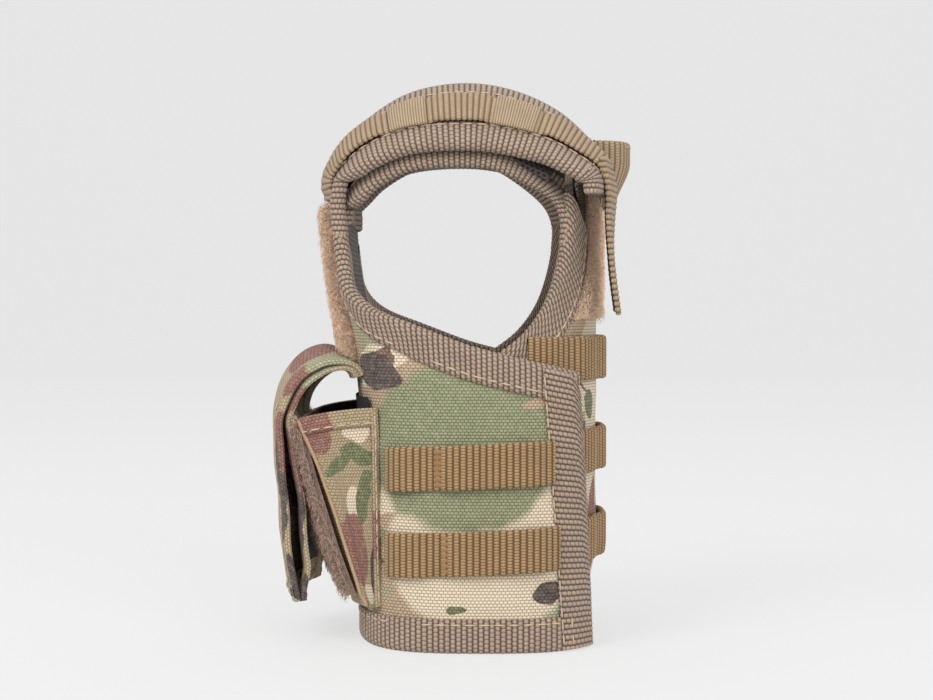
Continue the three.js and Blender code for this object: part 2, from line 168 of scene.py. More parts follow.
def raw_mesh(name, points, faces, uv, material):
    """Mesh object from points in millimetres, equal-sided faces and a texture place per point."""
    mesh = bpy.data.meshes.new(name)
    sides = faces.shape[1]
    mesh.vertices.add(len(points))
    mesh.vertices.foreach_set("co", to_frame(points).astype(np.float32).ravel())
    mesh.loops.add(faces.size)
    mesh.loops.foreach_set("vertex_index", faces.astype(np.int32).ravel())
    mesh.polygons.add(len(faces))
    mesh.polygons.foreach_set("loop_start", np.arange(0, faces.size, sides, dtype=np.int32))
    mesh.polygons.foreach_set("use_smooth", np.ones(len(faces), bool))
    layer = mesh.uv_layers.new(name="cloth")
    layer.data.foreach_set("uv", (uv[faces.ravel()] * 0.01).astype(np.float32).ravel())
    mesh.update(calc_edges=True)
    mesh.validate()
    obj = bpy.data.objects.new(name, mesh)
    bpy.context.scene.collection.objects.link(obj)
    if material:
        mesh.materials.append(material)
    return obj


def flat_profile(width, thickness, across=10):
    """Closed cross-section of a flat tape: (across, above) points, counter-clockwise from its lower right."""
    half, r = width / 2, thickness / 2
    turn = np.linspace(-np.pi / 2, np.pi / 2, 6)
    right = np.stack([half - r + r * np.cos(turn), r * np.sin(turn)], -1)
    top = np.linspace(half - r, -half + r, across + 1)[1:-1]
    upper = np.stack([top, np.full_like(top, r)], -1)
    left = -right
    lower = -upper
    return np.concatenate([right, upper, left, lower, right[:1]])


def edge_profile(width, low, high):
    """Open cross-section of a tape folded over an edge: down the outer face, round the edge, up the inner
    face. across is 0 at the edge and grows into the panel."""
    r = (high - low) / 2
    mid = (high + low) / 2
    flat = np.linspace(width, r, 8)
    outer = np.stack([flat, np.full_like(flat, high)], -1)
    turn = np.linspace(np.pi / 2, 3 * np.pi / 2, 9)[1:-1]
    nose = np.stack([r + r * np.cos(turn), mid + r * np.sin(turn)], -1)
    inner = np.stack([flat[::-1], np.full_like(flat, low)], -1)
    start = [[width + 0.1, high - 0.7]]
    end = [[width + 0.1, low + 0.7]]
    return np.concatenate([start, outer, nose, inner, end])


def profile_normals(profile):
    """Outward directions round a cross-section, open or closed."""
    ahead = np.roll(profile, -1, 0)
    behind = np.roll(profile, 1, 0)
    if np.allclose(profile[0], profile[-1]):
        behind[0], ahead[-1] = profile[-2], profile[1]
    else:
        behind[0], ahead[-1] = profile[0], profile[-1]
    tangent = ahead - behind
    tangent /= np.linalg.norm(tangent, axis=1, keepdims=True) + 1e-9
    return np.stack([tangent[:, 1], -tangent[:, 0]], -1)


def loft(name, mapping, profile, material, pitch, height, per_rib=6, lift=None, ends=(0, 0), wobble=0.0):
    """Tape along mapping(t, across, above), with ribs of that pitch and height across it.

    lift(length along, whole length) raises it; ends are the lengths over which it thins to nothing at
    its start and end; wobble is the slight waviness that sewn tape has.
    """
    middle = profile.mean(0)
    t, lengths = even(lambda s: mapping(s, middle[0], middle[1]), pitch / per_rib)
    profile = profile[None].repeat(len(t), 0)
    centre = profile.mean(1, keepdims=True)
    thin = np.ones(len(t))
    for reach, gap in ((ends[0], lengths), (ends[1], lengths[-1] - lengths)):
        if reach:
            share = np.clip(gap / reach, 0, 1)
            thin = np.minimum(thin, np.sqrt(share * (2 - share)))
    normals = profile_normals(profile[0])[None]
    rib = height * (0.5 - 0.5 * np.cos(2 * np.pi * lengths / pitch)) ** 0.7
    shaped = profile + normals * rib[:, None, None]
    shaped[..., 1] = centre[..., 1] + (shaped[..., 1] - centre[..., 1]) * thin[:, None]
    if lift is not None:
        shaped[..., 1] += lift(lengths, lengths[-1])[:, None]
    if wobble:
        shaped[..., 1] += (wobble * (np.sin(lengths / 7.3) + 0.6 * np.sin(lengths / 3.1 + 1.7)))[:, None]
    points = mapping(t[:, None], shaped[..., 0], shaped[..., 1])
    along = np.concatenate([[0], np.cumsum(np.linalg.norm(np.diff(profile[0], axis=0), axis=1))])
    uv = np.stack(np.broadcast_arrays(lengths[:, None], along[None]), -1)
    return grid_mesh(name, points, uv, material)


STITCH_LENGTH = 3.0
STITCH_GAP = 0.9
STITCH_RADIUS = 0.26
THREAD_STEP = 0.4           # spacing of the points that a stitch line is measured along


def stitches(curve, length=STITCH_LENGTH, gap=STITCH_GAP, radius=STITCH_RADIUS):
    """Arrays of points and faces: short thread stitches along curve(t) -> points."""
    path = curve(even(curve, THREAD_STEP)[0])
    lengths = np.concatenate([[0], np.cumsum(np.linalg.norm(np.diff(path, axis=0), axis=1))])
    count = max(1, int(lengths[-1] // (length + gap)))
    sides, rings = 6, 6
    turn = np.linspace(0, 2 * np.pi, sides, endpoint=False)
    all_points, all_faces, used = [], [], 0
    for k in range(count):
        start = (k + 0.5) * lengths[-1] / count - length / 2
        at = start + np.linspace(0, length, rings)
        centre = np.stack([np.interp(at, lengths, path[:, axis]) for axis in range(3)], -1)
        along = centre[-1] - centre[0]
        along /= np.linalg.norm(along)
        side = np.cross(along, (0.31, 0.17, 0.93))
        side /= np.linalg.norm(side)
        up = np.cross(side, along)
        swell = radius * np.array([0.35, 0.85, 1, 1, 0.85, 0.35])
        ring = centre[:, None] + swell[:, None, None] * (np.cos(turn)[None, :, None] * side
                                                         + np.sin(turn)[None, :, None] * up)
        index = used + np.arange(rings * sides).reshape(rings, sides)
        after = np.roll(index, -1, 1)
        all_faces.append(np.stack([index[:-1], after[:-1], after[1:], index[1:]], -1).reshape(-1, 4))
        all_points.append(ring.reshape(-1, 3))
        used += rings * sides
    return np.concatenate(all_points), np.concatenate(all_faces)


def thread_object(name, curves, material, body_name, **options):
    """One object of stitches along several curves. It rides on a body, unless body_name is None."""
    points, faces, used = [], [], 0
    for curve in curves:
        p, f = stitches(curve, **options)
        points.append(p)
        faces.append(f + used)
        used += len(p)
    points, faces = np.concatenate(points), np.concatenate(faces)
    obj = raw_mesh(name, points, faces, np.zeros((len(points), 2)), material)
    if body_name:
        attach(obj, body_name)
    return obj


# ---------- materials ----------
class Cloth:
    """A procedural material whose pattern is laid out in millimetres of cloth, along and across."""

    def __init__(self, name, roughness):
        self.material = bpy.data.materials.new(name)
        self.material.use_nodes = True
        self.nodes = self.material.node_tree.nodes
        self.links = self.material.node_tree.links
        self.shader = self.nodes["Principled BSDF"]
        self.shader.inputs["Roughness"].default_value = roughness
        self.shader.inputs["Specular IOR Level"].default_value = 0.25
        uv = self.nodes.new("ShaderNodeUVMap")
        uv.uv_map = "cloth"
        scale = self.nodes.new("ShaderNodeVectorMath")
        scale.operation = "SCALE"
        scale.inputs["Scale"].default_value = 100
        self.links.new(uv.outputs[0], scale.inputs[0])
        self.place = scale.outputs[0]
        split = self.nodes.new("ShaderNodeSeparateXYZ")
        self.links.new(self.place, split.inputs[0])
        self.along, self.across = split.outputs[0], split.outputs[1]

    def put(self, value, socket):
        if isinstance(value, bpy.types.NodeSocket):
            self.links.new(value, socket)
        else:
            socket.default_value = value

    def math(self, operation, *values):
        node = self.nodes.new("ShaderNodeMath")
        node.operation = operation
        for value, socket in zip(values, node.inputs):
            self.put(value, socket)
        return node.outputs[0]

    def wave(self, value, pitch, shift=0.0):
        """0 in the grooves and 1 on the ribs, one rib every pitch millimetres."""
        turns = self.math("MULTIPLY_ADD", value, 2 * math.pi / pitch, shift)
        return self.math("MULTIPLY_ADD", self.math("COSINE", turns), -0.5, 0.5)

    def noise(self, scale, detail=3.0, roughness=0.55, vector=None, output=0, distortion=0.0):
        node = self.nodes.new("ShaderNodeTexNoise")
        node.inputs["Scale"].default_value = scale
        node.inputs["Detail"].default_value = detail
        node.inputs["Roughness"].default_value = roughness
        node.inputs["Distortion"].default_value = distortion
        self.links.new(vector or self.place, node.inputs["Vector"])
        return node.outputs[output]

    def ramp(self, value, low, high):
        node = self.nodes.new("ShaderNodeMapRange")
        node.interpolation_type = "SMOOTHSTEP"
        self.put(value, node.inputs["Value"])
        self.put(low, node.inputs["From Min"])
        self.put(high, node.inputs["From Max"])
        return node.outputs[0]

    def mix(self, factor, first, second, blend="MIX"):
        node = self.nodes.new("ShaderNodeMix")
        node.data_type = "RGBA"
        node.blend_type = blend
        self.put(factor, node.inputs[0])
        for value, socket in ((first, node.inputs[6]), (second, node.inputs[7])):
            self.put(value if isinstance(value, bpy.types.NodeSocket) else (*value, 1), socket)
        return node.outputs[2]

    def shade(self, colour, height, low):
        """colour darkened to low times itself where the weave's height is 0: painted shade in the cloth's
        hollows.
        """
        depth = self.math("MULTIPLY_ADD", height, 1 - low, low)
        grey = self.nodes.new("ShaderNodeCombineColor")
        for socket in grey.inputs:
            self.links.new(depth, socket)
        return self.mix(1.0, colour, grey.outputs[0], "MULTIPLY")

    def finish(self, colour, height, bump_mm, strength=1.0, sheen=0.0):
        self.put(colour if isinstance(colour, bpy.types.NodeSocket) else (*colour, 1),
                 self.shader.inputs["Base Color"])
        bump = self.nodes.new("ShaderNodeBump")
        bump.inputs["Strength"].default_value = strength
        bump.inputs["Distance"].default_value = bump_mm * MM
        self.links.new(height, bump.inputs["Height"])
        self.links.new(bump.outputs[0], self.shader.inputs["Normal"])
        self.shader.inputs["Sheen Weight"].default_value = sheen
        self.shader.inputs["Sheen Roughness"].default_value = 0.5
        return self.material


BEAD_PITCH = 1.3
WEBBING_BEAD_PITCH = 0.85
PRINT_PITCH = 1.15          # of the printed cloth's weave
# The pitch of each cloth's ribs where it is made up as tape, and the material slot name listed for each,
# which wear() does not use.
PITCHES = {"binding": 1.6, "dark_cloth": 1.6, "mesh": 1.6, "row": 1.9, "strap": 1.7, "keeper": 0.8,
           "hook": 1.5, "piping": 0.9, "pouch_hem": PRINT_PITCH, "flap_edge": PRINT_PITCH}
SLOTS = {"binding": "binding_tape", "dark_cloth": "binding_tape", "piping": "binding_tape",
         "row": "coyote_webbing", "strap": "coyote_webbing", "keeper": "coyote_webbing",
         "camo": "camo_fabric", "pouch_hem": "camo_fabric", "flap_edge": "camo_fabric",
         "mesh": "mesh_lining", "hook": "black_hook"}


def tape_material(name, colour, groove_shade, rib_pitch, bead_pitch, bump, beading):
    """Ribbed tape. Each rib runs across the tape and is broken into beads where the warp crosses it."""
    cloth = Cloth(name, 0.8)
    rib = cloth.math("POWER", cloth.wave(cloth.along, rib_pitch), 0.4)
    row = cloth.math("FLOOR", cloth.math("DIVIDE", cloth.along, rib_pitch))
    unsure = cloth.math("MULTIPLY_ADD", cloth.noise(0.5, 2), 0.5, cloth.across)
    bead = cloth.wave(cloth.math("MULTIPLY_ADD", row, bead_pitch / 2, unsure), bead_pitch)
    bead = cloth.math("POWER", bead, 0.3)
    weave = cloth.math("MULTIPLY", rib, cloth.math("MULTIPLY_ADD", bead, beading, 1 - beading))
    fibre = cloth.noise(2.6, 4, 0.7)
    height = cloth.math("MULTIPLY_ADD", fibre, 0.3, weave)
    patchy = cloth.ramp(cloth.noise(0.12, 3), 0.3, 0.75)
    base = cloth.mix(patchy, colour, [c * 0.84 for c in colour])
    base = cloth.mix(cloth.ramp(fibre, 0.45, 0.75), base, [c * 1.4 for c in colour])
    # painted shade: the grooves between ribs and beads are mixed towards a near-black brown
    tone = cloth.mix(cloth.ramp(weave, 0.2, 0.72), groove_shade, base)
    return cloth.finish(tone, height, bump, 1.0, 0.15)


def offset_rows(cloth, pitch, row_pitch):
    """Waves along and across the cloth, in rows that are shifted by half a step one after another."""
    row = cloth.math("FLOOR", cloth.math("DIVIDE", cloth.across, row_pitch))
    shifted = cloth.math("MULTIPLY_ADD", cloth.math("MODULO", row, 2.0), pitch / 2, cloth.along)
    return cloth.wave(shifted, pitch), cloth.wave(cloth.across, row_pitch)


def plain_weave(cloth, pitch):
    """Height of a basket weave: rounded floats in rows, each row shifted half a step."""
    one, two = offset_rows(cloth, pitch, pitch * 0.8)
    return cloth.math("MULTIPLY", cloth.math("POWER", one, 0.5), cloth.math("POWER", two, 0.5))


TAN = (0.42, 0.30, 0.19)
KHAKI = (0.40, 0.30, 0.18)
DARK_KHAKI = (0.36, 0.27, 0.155)
CREAM = (0.67, 0.555, 0.405)
GREEN = (0.235, 0.25, 0.135)
PALE_GREEN = (0.33, 0.32, 0.20)
LEAF = (0.13, 0.15, 0.065)
BROWN = (0.16, 0.085, 0.06)
UMBER = (0.075, 0.05, 0.045)
BURGUNDY = (0.24, 0.10, 0.075)


def blobs(cloth, place, shapes, soft=0.06):
    """Mask that is 1 inside any of the rounded shapes, each of which is given as
    (along, across, half length, half width, turn in degrees)."""
    nearest = None
    for along, across, half_length, half_width, turn in shapes:
        node = cloth.nodes.new("ShaderNodeMapping")
        node.vector_type = "TEXTURE"
        node.inputs["Location"].default_value = (along, across, 0)
        node.inputs["Rotation"].default_value = (0, 0, math.radians(turn))
        node.inputs["Scale"].default_value = (half_length, half_width, 1)
        cloth.links.new(place, node.inputs["Vector"])
        length = cloth.nodes.new("ShaderNodeVectorMath")
        length.operation = "LENGTH"
        cloth.links.new(node.outputs[0], length.inputs[0])
        distance = length.outputs["Value"]
        if nearest is None:
            nearest = distance
        else:
            nearest = cloth.math("SMOOTH_MIN", nearest, distance, 0.25)
    return cloth.ramp(nearest, 1 + soft, 1 - soft)


CAMO_WANDER = 7             # the print's outlines wander within this width, in millimetres
SCATTER = ((0.035, 0.50, TAN, 0.3), (0.045, 0.56, PALE_GREEN, 0.5), (0.055, 0.60, GREEN, 0.6),
           (0.075, 0.63, BROWN, 0.9))       # noise scale, threshold, colour and distortion of each layer


def camo_material(name, layers, background=CREAM, scatter=True):
    """Printed cloth: soft-edged shapes in a few colours over a plain ground, woven like basket cloth.
    scatter adds layers of noise under the shapes."""
    cloth = Cloth(name, 0.82)
    bend = cloth.noise(0.09, 2, 0.5, output=1)
    wobble = cloth.nodes.new("ShaderNodeVectorMath")
    wobble.operation = "MULTIPLY_ADD"
    wobble.inputs[1].default_value = (CAMO_WANDER, CAMO_WANDER, 0)
    wobble.inputs[2].default_value = (-CAMO_WANDER / 2, -CAMO_WANDER / 2, 0)
    cloth.links.new(bend, wobble.inputs[0])
    place = cloth.nodes.new("ShaderNodeVectorMath")
    cloth.links.new(cloth.place, place.inputs[0])
    cloth.links.new(wobble.outputs[0], place.inputs[1])
    place = place.outputs[0]
    colour = background
    if scatter:
        stretched = cloth.nodes.new("ShaderNodeVectorMath")
        stretched.operation = "MULTIPLY"
        stretched.inputs[1].default_value = (0.8, 1.25, 1)
        cloth.links.new(place, stretched.inputs[0])
        for scale, low, tone, distortion in SCATTER:
            shift = cloth.nodes.new("ShaderNodeVectorMath")
            shift.inputs[1].default_value = (13700 * scale, 53, 0)
            cloth.links.new(stretched.outputs[0], shift.inputs[0])
            field = cloth.noise(scale, 1.2, 0.4, shift.outputs[0], 0, distortion)
            mask = cloth.ramp(field, low, low + 0.012)
            colour = cloth.mix(mask, colour, tone)
    for tone, shapes in layers:
        colour = cloth.mix(blobs(cloth, place, shapes), colour, tone)
    weave = plain_weave(cloth, PRINT_PITCH)
    thread = cloth.noise(1.6, 3, 0.6)
    height = cloth.math("MULTIPLY_ADD", thread, 0.2, weave)
    worn = cloth.ramp(cloth.noise(0.6, 4, 0.7), 0.35, 0.8)
    colour = cloth.mix(cloth.math("MULTIPLY", worn, 0.22), colour, (0.75, 0.68, 0.56))
    # painted shade: the weave's hollows are darkened to 0.36 of the colour
    colour = cloth.shade(colour, cloth.ramp(height, 0.05, 0.6), 0.36)
    return cloth.finish(colour, height, 0.22, 0.9, 0.1)


def fuzz_material(name, colour):
    cloth = Cloth(name, 0.95)
    tuft = cloth.noise(1.4, 4, 0.75)
    clump = cloth.noise(0.25, 3, 0.6)
    tone = cloth.mix(cloth.ramp(clump, 0.3, 0.7), colour, [c * 0.72 for c in colour])
    # painted shade: the colour is darkened between the tufts
    tone = cloth.shade(tone, cloth.ramp(tuft, 0.3, 0.6), 0.6)
    return cloth.finish(tone, tuft, 0.8, 1.0, 0.4)


def plain_material(name, colour, scale, bump, roughness=0.9, sheen=0.0):
    cloth = Cloth(name, roughness)
    grain = cloth.noise(scale, 3, 0.7)
    # painted shade: the colour is darkened in the grain's hollows
    tone = cloth.shade(colour, cloth.ramp(grain, 0.25, 0.7), 0.6)
    return cloth.finish(tone, grain, bump, 1.0, sheen)


def mesh_lining_material():
    """Spacer mesh: a dark cloth with rows of round holes."""
    cloth = Cloth("mesh_lining", 0.9)
    solid = cloth.math("SUBTRACT", 1.0, cloth.math("MULTIPLY", *offset_rows(cloth, 2.0, 1.5)))
    height = cloth.ramp(solid, 0.35, 0.75)
    # the holes are painted near-black, as painted shade inside them; they are not cut through
    tone = cloth.mix(height, (0.012, 0.012, 0.012), (0.085, 0.072, 0.066))
    return cloth.finish(tone, height, 0.4, 1.0, 0.1)


def hook_material():
    cloth = Cloth("hook_tape", 0.75)
    height = cloth.math("MULTIPLY", cloth.wave(cloth.along, 1.5), cloth.wave(cloth.across, 1.2))
    # painted shade: the hook tape is darker in its grooves
    return cloth.finish(cloth.mix(height, (0.012, 0.012, 0.015), (0.035, 0.034, 0.04)), height, 0.4)


# ---------- helpers for cloth pieces ----------
def ripples(a, b, seed, longest=34, shortest=9, count=7):
    """Soft unevenness from -1 to 1, as laminated cloth has, at places a and b in millimetres."""
    rng = np.random.default_rng(seed)
    total, weight = 0, 0
    for wavelength in np.geomspace(longest, shortest, count):
        angle, phase = rng.uniform(0, np.pi), rng.uniform(0, 2 * np.pi)
        size = wavelength ** 0.8
        along = a * np.cos(angle) + b * np.sin(angle)
        total = total + size * np.sin(2 * np.pi * along / wavelength + phase)
        weight += size
    return total / weight * 1.8


def face_outward(obj):
    """Turns a closed or nearly closed mesh's faces outward."""
    mesh = obj.data
    co = np.empty(len(mesh.vertices) * 3)
    mesh.vertices.foreach_get("co", co)
    co = co.reshape(-1, 3) - co.reshape(-1, 3).mean(0)
    corners = np.empty(len(mesh.loops), int)
    mesh.loops.foreach_get("vertex_index", corners)
    quads = corners.reshape(-1, 4)
    a, b, c, d = (co[quads[:, k]] for k in range(4))
    if np.einsum("ij,ij->i", a, np.cross(b, c) + np.cross(c, d)).sum() < 0:
        mesh.flip_normals()
    return obj


def face_from_axis(obj, outward=True):
    """Turns a sheet's faces away from the body's upright axis, or towards it."""
    mesh = obj.data
    middle = np.array([0, BODY_Y * MM, 0])
    total = sum(np.dot(np.array(p.normal) * (1, 1, 0), np.array(p.center) - middle)
                for p in mesh.polygons)
    if (total > 0) != outward:
        mesh.flip_normals()
    return obj


def wear(obj, slot_name, place, replaces=None):
    """Puts a piece in its place and hides the CAD nodes it replaces; slot_name is not used. If its place is
    the name of a body, the piece rides on that body; if it is two bodies and the points where a bend between
    them starts and ends, the piece is only baked into the frame and does not bend."""
    if isinstance(place, str):
        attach(obj, place)
    else:
        parent, child, start, end = place
        to_frame(start)
        to_frame(end)
        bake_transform(obj)
    if replaces is not None:
        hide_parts(*replaces)
    return obj


def tape(name, mapping, profile, cloth, height, place, replaces=None, **options):
    """A lofted tape of one of the cloths. It faces outward, is put in its place, and the CAD nodes it
    replaces are hidden.
    """
    ribbon = face_outward(loft(name, mapping, profile, CLOTHS[cloth], PITCHES[cloth], height, **options))
    return wear(ribbon, SLOTS[cloth], place, replaces)


def wing_bend(sign):
    """The vest and wing bodies and the stretch at the front corner where cloth passes from one to the other;
    the cloth is not bent over it.
    """
    return ("vest", f"{SIDE_NAMES[sign]}_wing", (sign * 33, -28, 40), (sign * 33, -15, 40))


def strap_bend(sign):
    """The vest and strap bodies and the stretch where the strap's foot passes from the vest to the strap,
    upward and backward from the chest; the strap is not bent over it.
    """
    return ("vest", f"{SIDE_NAMES[sign]}_strap", (sign * 17, -43.5, 131), (sign * 17, -39, 141))


SEWN_REACH = 7              # a panel's cloth reaches its full swell this far from its seams


def panel(name, span, top, offset, puff, cloth, seed, place, replaces, centre=0, sign=1):
    """One cloth face of a panel, from column span[0] to span[1], standing offset from the outline. It swells
    by puff away from its foot and top, where it is sewn down, and it faces the way it swells."""
    distance = np.linspace(span[0], span[1], max(6, int(span[1] - span[0])))[:, None]
    rows = int(max(top(distance.ravel())) - FOOT)
    share = np.linspace(0, 1, rows)[None]
    ceiling = top(distance.ravel())[:, None]
    z = FOOT + (ceiling - FOOT) * share
    from_edge = np.minimum(z - FOOT, ceiling - z)
    swell = smooth(from_edge, 0, SEWN_REACH)
    stitch_wave = np.sin(2 * np.pi * distance / (STITCH_LENGTH + STITCH_GAP))
    pucker = 0.14 * stitch_wave * np.exp(-np.abs(from_edge - 2.5) / 2)
    height = offset + puff * (swell * (1 + 0.35 * ripples(distance, z, seed)) + pucker)
    points = body(centre + sign * distance, z, height)
    uv = np.stack(np.broadcast_arrays(centre + sign * distance, z), -1)
    sheet = face_from_axis(grid_mesh(name, points, uv, CLOTHS[cloth]), puff > 0)
    return wear(sheet, SLOTS[cloth], place, replaces)


def edge_mapping(centre, sign, rim, seam):
    """Maps a folded binding: across is 0 at the rim curve and the binding's width at the seam curve."""
    def mapping(t, across, above):
        share = (across / BINDING_WIDTH)[..., None]
        place = mix(catmull(rim, t), catmull(seam, t), share)
        return body(centre + sign * place[..., 0], place[..., 1], above)
    return mapping


def level_mapping(centre, sign, start, end, rim_z, inward, slope=0.0):
    """Maps a level tape: t runs from start to end round the body, across rises from rim_z by inward."""
    def mapping(t, across, above):
        distance = start + (end - start) * t
        height = rim_z + slope * (distance - start) + inward * across
        return body(centre + sign * distance, height, above)
    return mapping


def upright_mapping(sign, edge_distance, low, top, slant):
    """Maps an upright tape on the body: across is 0 at edge_distance and grows towards the panel.
    Its top stands nearer the front than its foot, by slant."""
    def mapping(t, across, above):
        distance = edge_distance - across
        return body(sign * (distance - slant * t), low + (top(distance) - low) * t, above)
    return mapping


def part_of(mapping, first, last):
    """The stretch of a mapping from first to last, as a mapping of its own."""
    return lambda t, across, above: mapping(mix(first, last, t), across, above)


# ---------- the parts of the vest ----------
BINDING_WIDTH = 10
FRONT_LOW, FRONT_HIGH = 0.35, 4.75          # inner and outer face of the front's bindings, from the outline
BACK_LOW, BACK_HIGH = -4.35, 0.1
THREAD_LIFT = 0.2           # stitches lie this far above the tape they hold
WING_END = 88.5             # the wing's foot ends this far round from the front's centre
WING_BAND = 11.5            # width of the binding there
WING_END_SLANT = 5.5
HOOK_START = 60             # the wing's hook tape starts this far round
BACK_REACH = 52             # half the back panel's width, round the outline
# Rim and seam of the bindings as (distance round the body, height), from the neck down and outward.
FRONT_RIM = [(27.2, 133), (27.3, 117), (28.6, 107.5), (31, 101.2), (35, 97.2), (42, 93.6), (52, 89.3),
             (64, 86), (76, 83.2), (82, 81.6)]
FRONT_SEAM = [(17.5, 127), (18.9, 111), (22, 100.5), (27, 92.5), (35, 87.2), (42, 83.3), (52, 79.3),
              (64, 76.1), (76, 73.2), (81, 71.8)]
BACK_RIM = [(25.2, 142), (26.8, 132), (28.6, 118), (33.8, 104), (42, 93), (52, 85.5)]
BACK_SEAM = [(14.5, 140), (16.9, 118), (20.4, 106.3), (31.4, 90.4), (44.2, 78.5), (52, 73.3)]


def under_seam(seam, neck, tuck=1.8):
    """Panel height at each distance from its centre line, tucked a little under the bindings."""
    curve = catmull(seam, np.linspace(0, 1, 200))
    order = np.argsort(curve[:, 0])

    def top(distance):
        near = np.abs(distance)
        return np.where(near < seam[0][0], neck, np.interp(near, curve[order, 0], curve[order, 1])) + tuck
    return top


front_top = under_seam(FRONT_SEAM, 127)
back_top = under_seam(BACK_SEAM, 140)
FOOT = HEM_HEIGHT - 1.5
CORNER = 20                 # the front's own pieces end this far round, and the wing's pieces start


def seam_thread(mapping, t_range, across, above):
    """Curve of a stitch line along a mapped tape."""
    def curve(t):
        return mapping(mix(t_range[0], t_range[1], t), np.full_like(t, across), np.full_like(t, above))
    return curve


def make_front():
    camo = panel("front_camo", (-CORNER, CORNER), front_top, 3.9, 0.5, "camo", 3, "vest",
                 ["front_shell", "front_core"])
    panel("front_mesh", (-CORNER, CORNER), front_top, 0.6, -0.3, "mesh", 4, "vest", ["front_lining"])
    hem = level_mapping(0, 1, -CORNER, CORNER, 0, 1)
    tape("front_hem", hem, edge_profile(HEM_HEIGHT, FRONT_LOW, FRONT_HIGH), "binding", 0.16, "vest",
         ["front_hem_binding"])
    neck = level_mapping(0, 1, -18.5, 18.5, FRONT_TOP, -1)
    tape("front_neck_edge", neck, edge_profile(6.5, FRONT_LOW, FRONT_HIGH), "binding", 0.16, "vest",
         ["front_neck_binding"])
    high = FRONT_HIGH + THREAD_LIFT
    curves = [seam_thread(hem, (0, 1), 8.6, high), seam_thread(neck, (0, 1), 5.2, high)]
    thread_object("front_thread", curves, CLOTHS["thread"], "vest")


def make_wing(sign):
    side = SIDE_NAMES[sign]
    bend = wing_bend(sign)
    inner_end = WING_END - WING_BAND
    camo = panel(f"{side}_wing_camo", (CORNER, inner_end + 2), front_top, 3.9, 0.75, "camo", 11 + sign,
                 bend, [f"{side}_wing_shell", f"{side}_wing_core"], sign=sign)
    panel(f"{side}_wing_mesh", (CORNER, HOOK_START), front_top, 0.6, -0.25, "mesh", 14, bend,
          [f"{side}_wing_lining"], sign=sign)
    panel(f"{side}_wing_hooks", (HOOK_START, inner_end + 2), front_top, 0.5, -0.1, "hook", 15,
          f"{side}_wing", [f"{side}_wing_hook_patch"], sign=sign)

    rim = part_of(edge_mapping(0, sign, FRONT_RIM, FRONT_SEAM), 0.075, 1)
    tape(f"{side}_armhole_edge", rim, edge_profile(BINDING_WIDTH, FRONT_LOW, FRONT_HIGH), "binding", 0.17,
         bend, [f"{side}_front_armhole_binding", f"{side}_wing_top_binding"], wobble=0.06)
    hem = level_mapping(0, sign, CORNER, inner_end + 3, 0, 1)
    tape(f"{side}_hem", hem, edge_profile(HEM_HEIGHT, FRONT_LOW, FRONT_HIGH), "binding", 0.17, bend,
         [f"{side}_wing_hem_binding"], wobble=0.05)

    def end_top(distance):
        rounding = 5.5 * smooth(distance, WING_END - 4.5, WING_END + 0.5)
        return 83.6 - 0.27 * (distance - inner_end) - rounding
    end = upright_mapping(sign, WING_END, 0.2, end_top, WING_END_SLANT)
    tape(f"{side}_wing_end_edge", end, edge_profile(WING_BAND, FRONT_LOW - 0.05, FRONT_HIGH + 0.55),
         "binding", 0.18, f"{side}_wing", [f"{side}_wing_end_binding"], ends=(0.6, 1.6), wobble=0.07)

    high = FRONT_HIGH + THREAD_LIFT
    wing_curves = [seam_thread(rim, (0.52, 0.9), 8.4, high), seam_thread(hem, (0.3, 1), 8.6, high),
                   seam_thread(end, (0.02, 0.97), 11.6, high + 0.5),
                   seam_thread(end, (0.01, 0.13), 9.0, high + 0.6)]
    thread_object(f"{side}_wing_thread", wing_curves, CLOTHS["thread"], f"{side}_wing")
    front_curves = [seam_thread(rim, (0.02, 0.38), 8.4, high), seam_thread(hem, (0, 0.16), 8.6, high)]
    thread_object(f"{side}_corner_thread", front_curves, CLOTHS["thread"], "vest")
    make_wing_rows(sign, bend)


ROW_START = 29.5            # the wing's webbing rows start this far round
ROW_SLOPE = 0.05
TACK_LINES = 7              # lines of thread in a bar tack
TACK_PITCH = 0.42


def make_wing_rows(sign, bend):
    """Two rows of webbing, sewn down with bar tacks, so each stretch between tacks stands a little proud."""
    side = SIDE_NAMES[sign]
    for label, foot, end, tack_at, seed in (("upper", 47, 74, 43.5, 0.4), ("lower", 22, 75.4, 45.5, 1.9)):
        def lift(lengths, whole, seed=seed, tack_at=tack_at):
            place = ROW_START + lengths
            rise = 1.1 * smooth(np.abs(place - tack_at), 1.5, 7) * smooth(place, ROW_START - 2, ROW_START + 5)
            rise -= 1.1 * smooth(whole - lengths, 6, 1)
            return rise + 0.08 * np.sin(lengths / 3.3 + seed)
        row = level_mapping(0, sign, ROW_START, end, foot + WEBBING_WIDTH / 2, 1, ROW_SLOPE)
        tape(f"{side}_row_{label}", row, flat_profile(WEBBING_WIDTH, 1.5, 12) + (0, 5.5), "row", 0.28, bend,
             [f"{side}_wing_webbing_{label}"], lift=lift)
        curves = []
        for line in range(TACK_LINES):
            share = (tack_at - 1.3 + TACK_PITCH * line - ROW_START) / (end - ROW_START)

            def bar(t, share=share, row=row):
                reach = WEBBING_WIDTH / 2 - 0.8
                return row(np.full_like(t, share), mix(-reach, reach, t), np.full_like(t, 6.45))
            curves.append(bar)
        tack = thread_object(f"{side}_row_{label}_tack", curves, CLOTHS["tack"], f"{side}_wing", length=1.5,
                             gap=0.05, radius=0.3)


def back_row_lift(lengths, whole):
    """How far the back's webbing rows stand off between the places where they are sewn down."""
    place = np.abs(lengths - whole / 2)
    rise = 1.0 * smooth(np.abs(place - 13), 0.8, 6) * (1 - smooth(place, 24, 31))
    return rise - 0.7 * smooth(place, 26, 32)


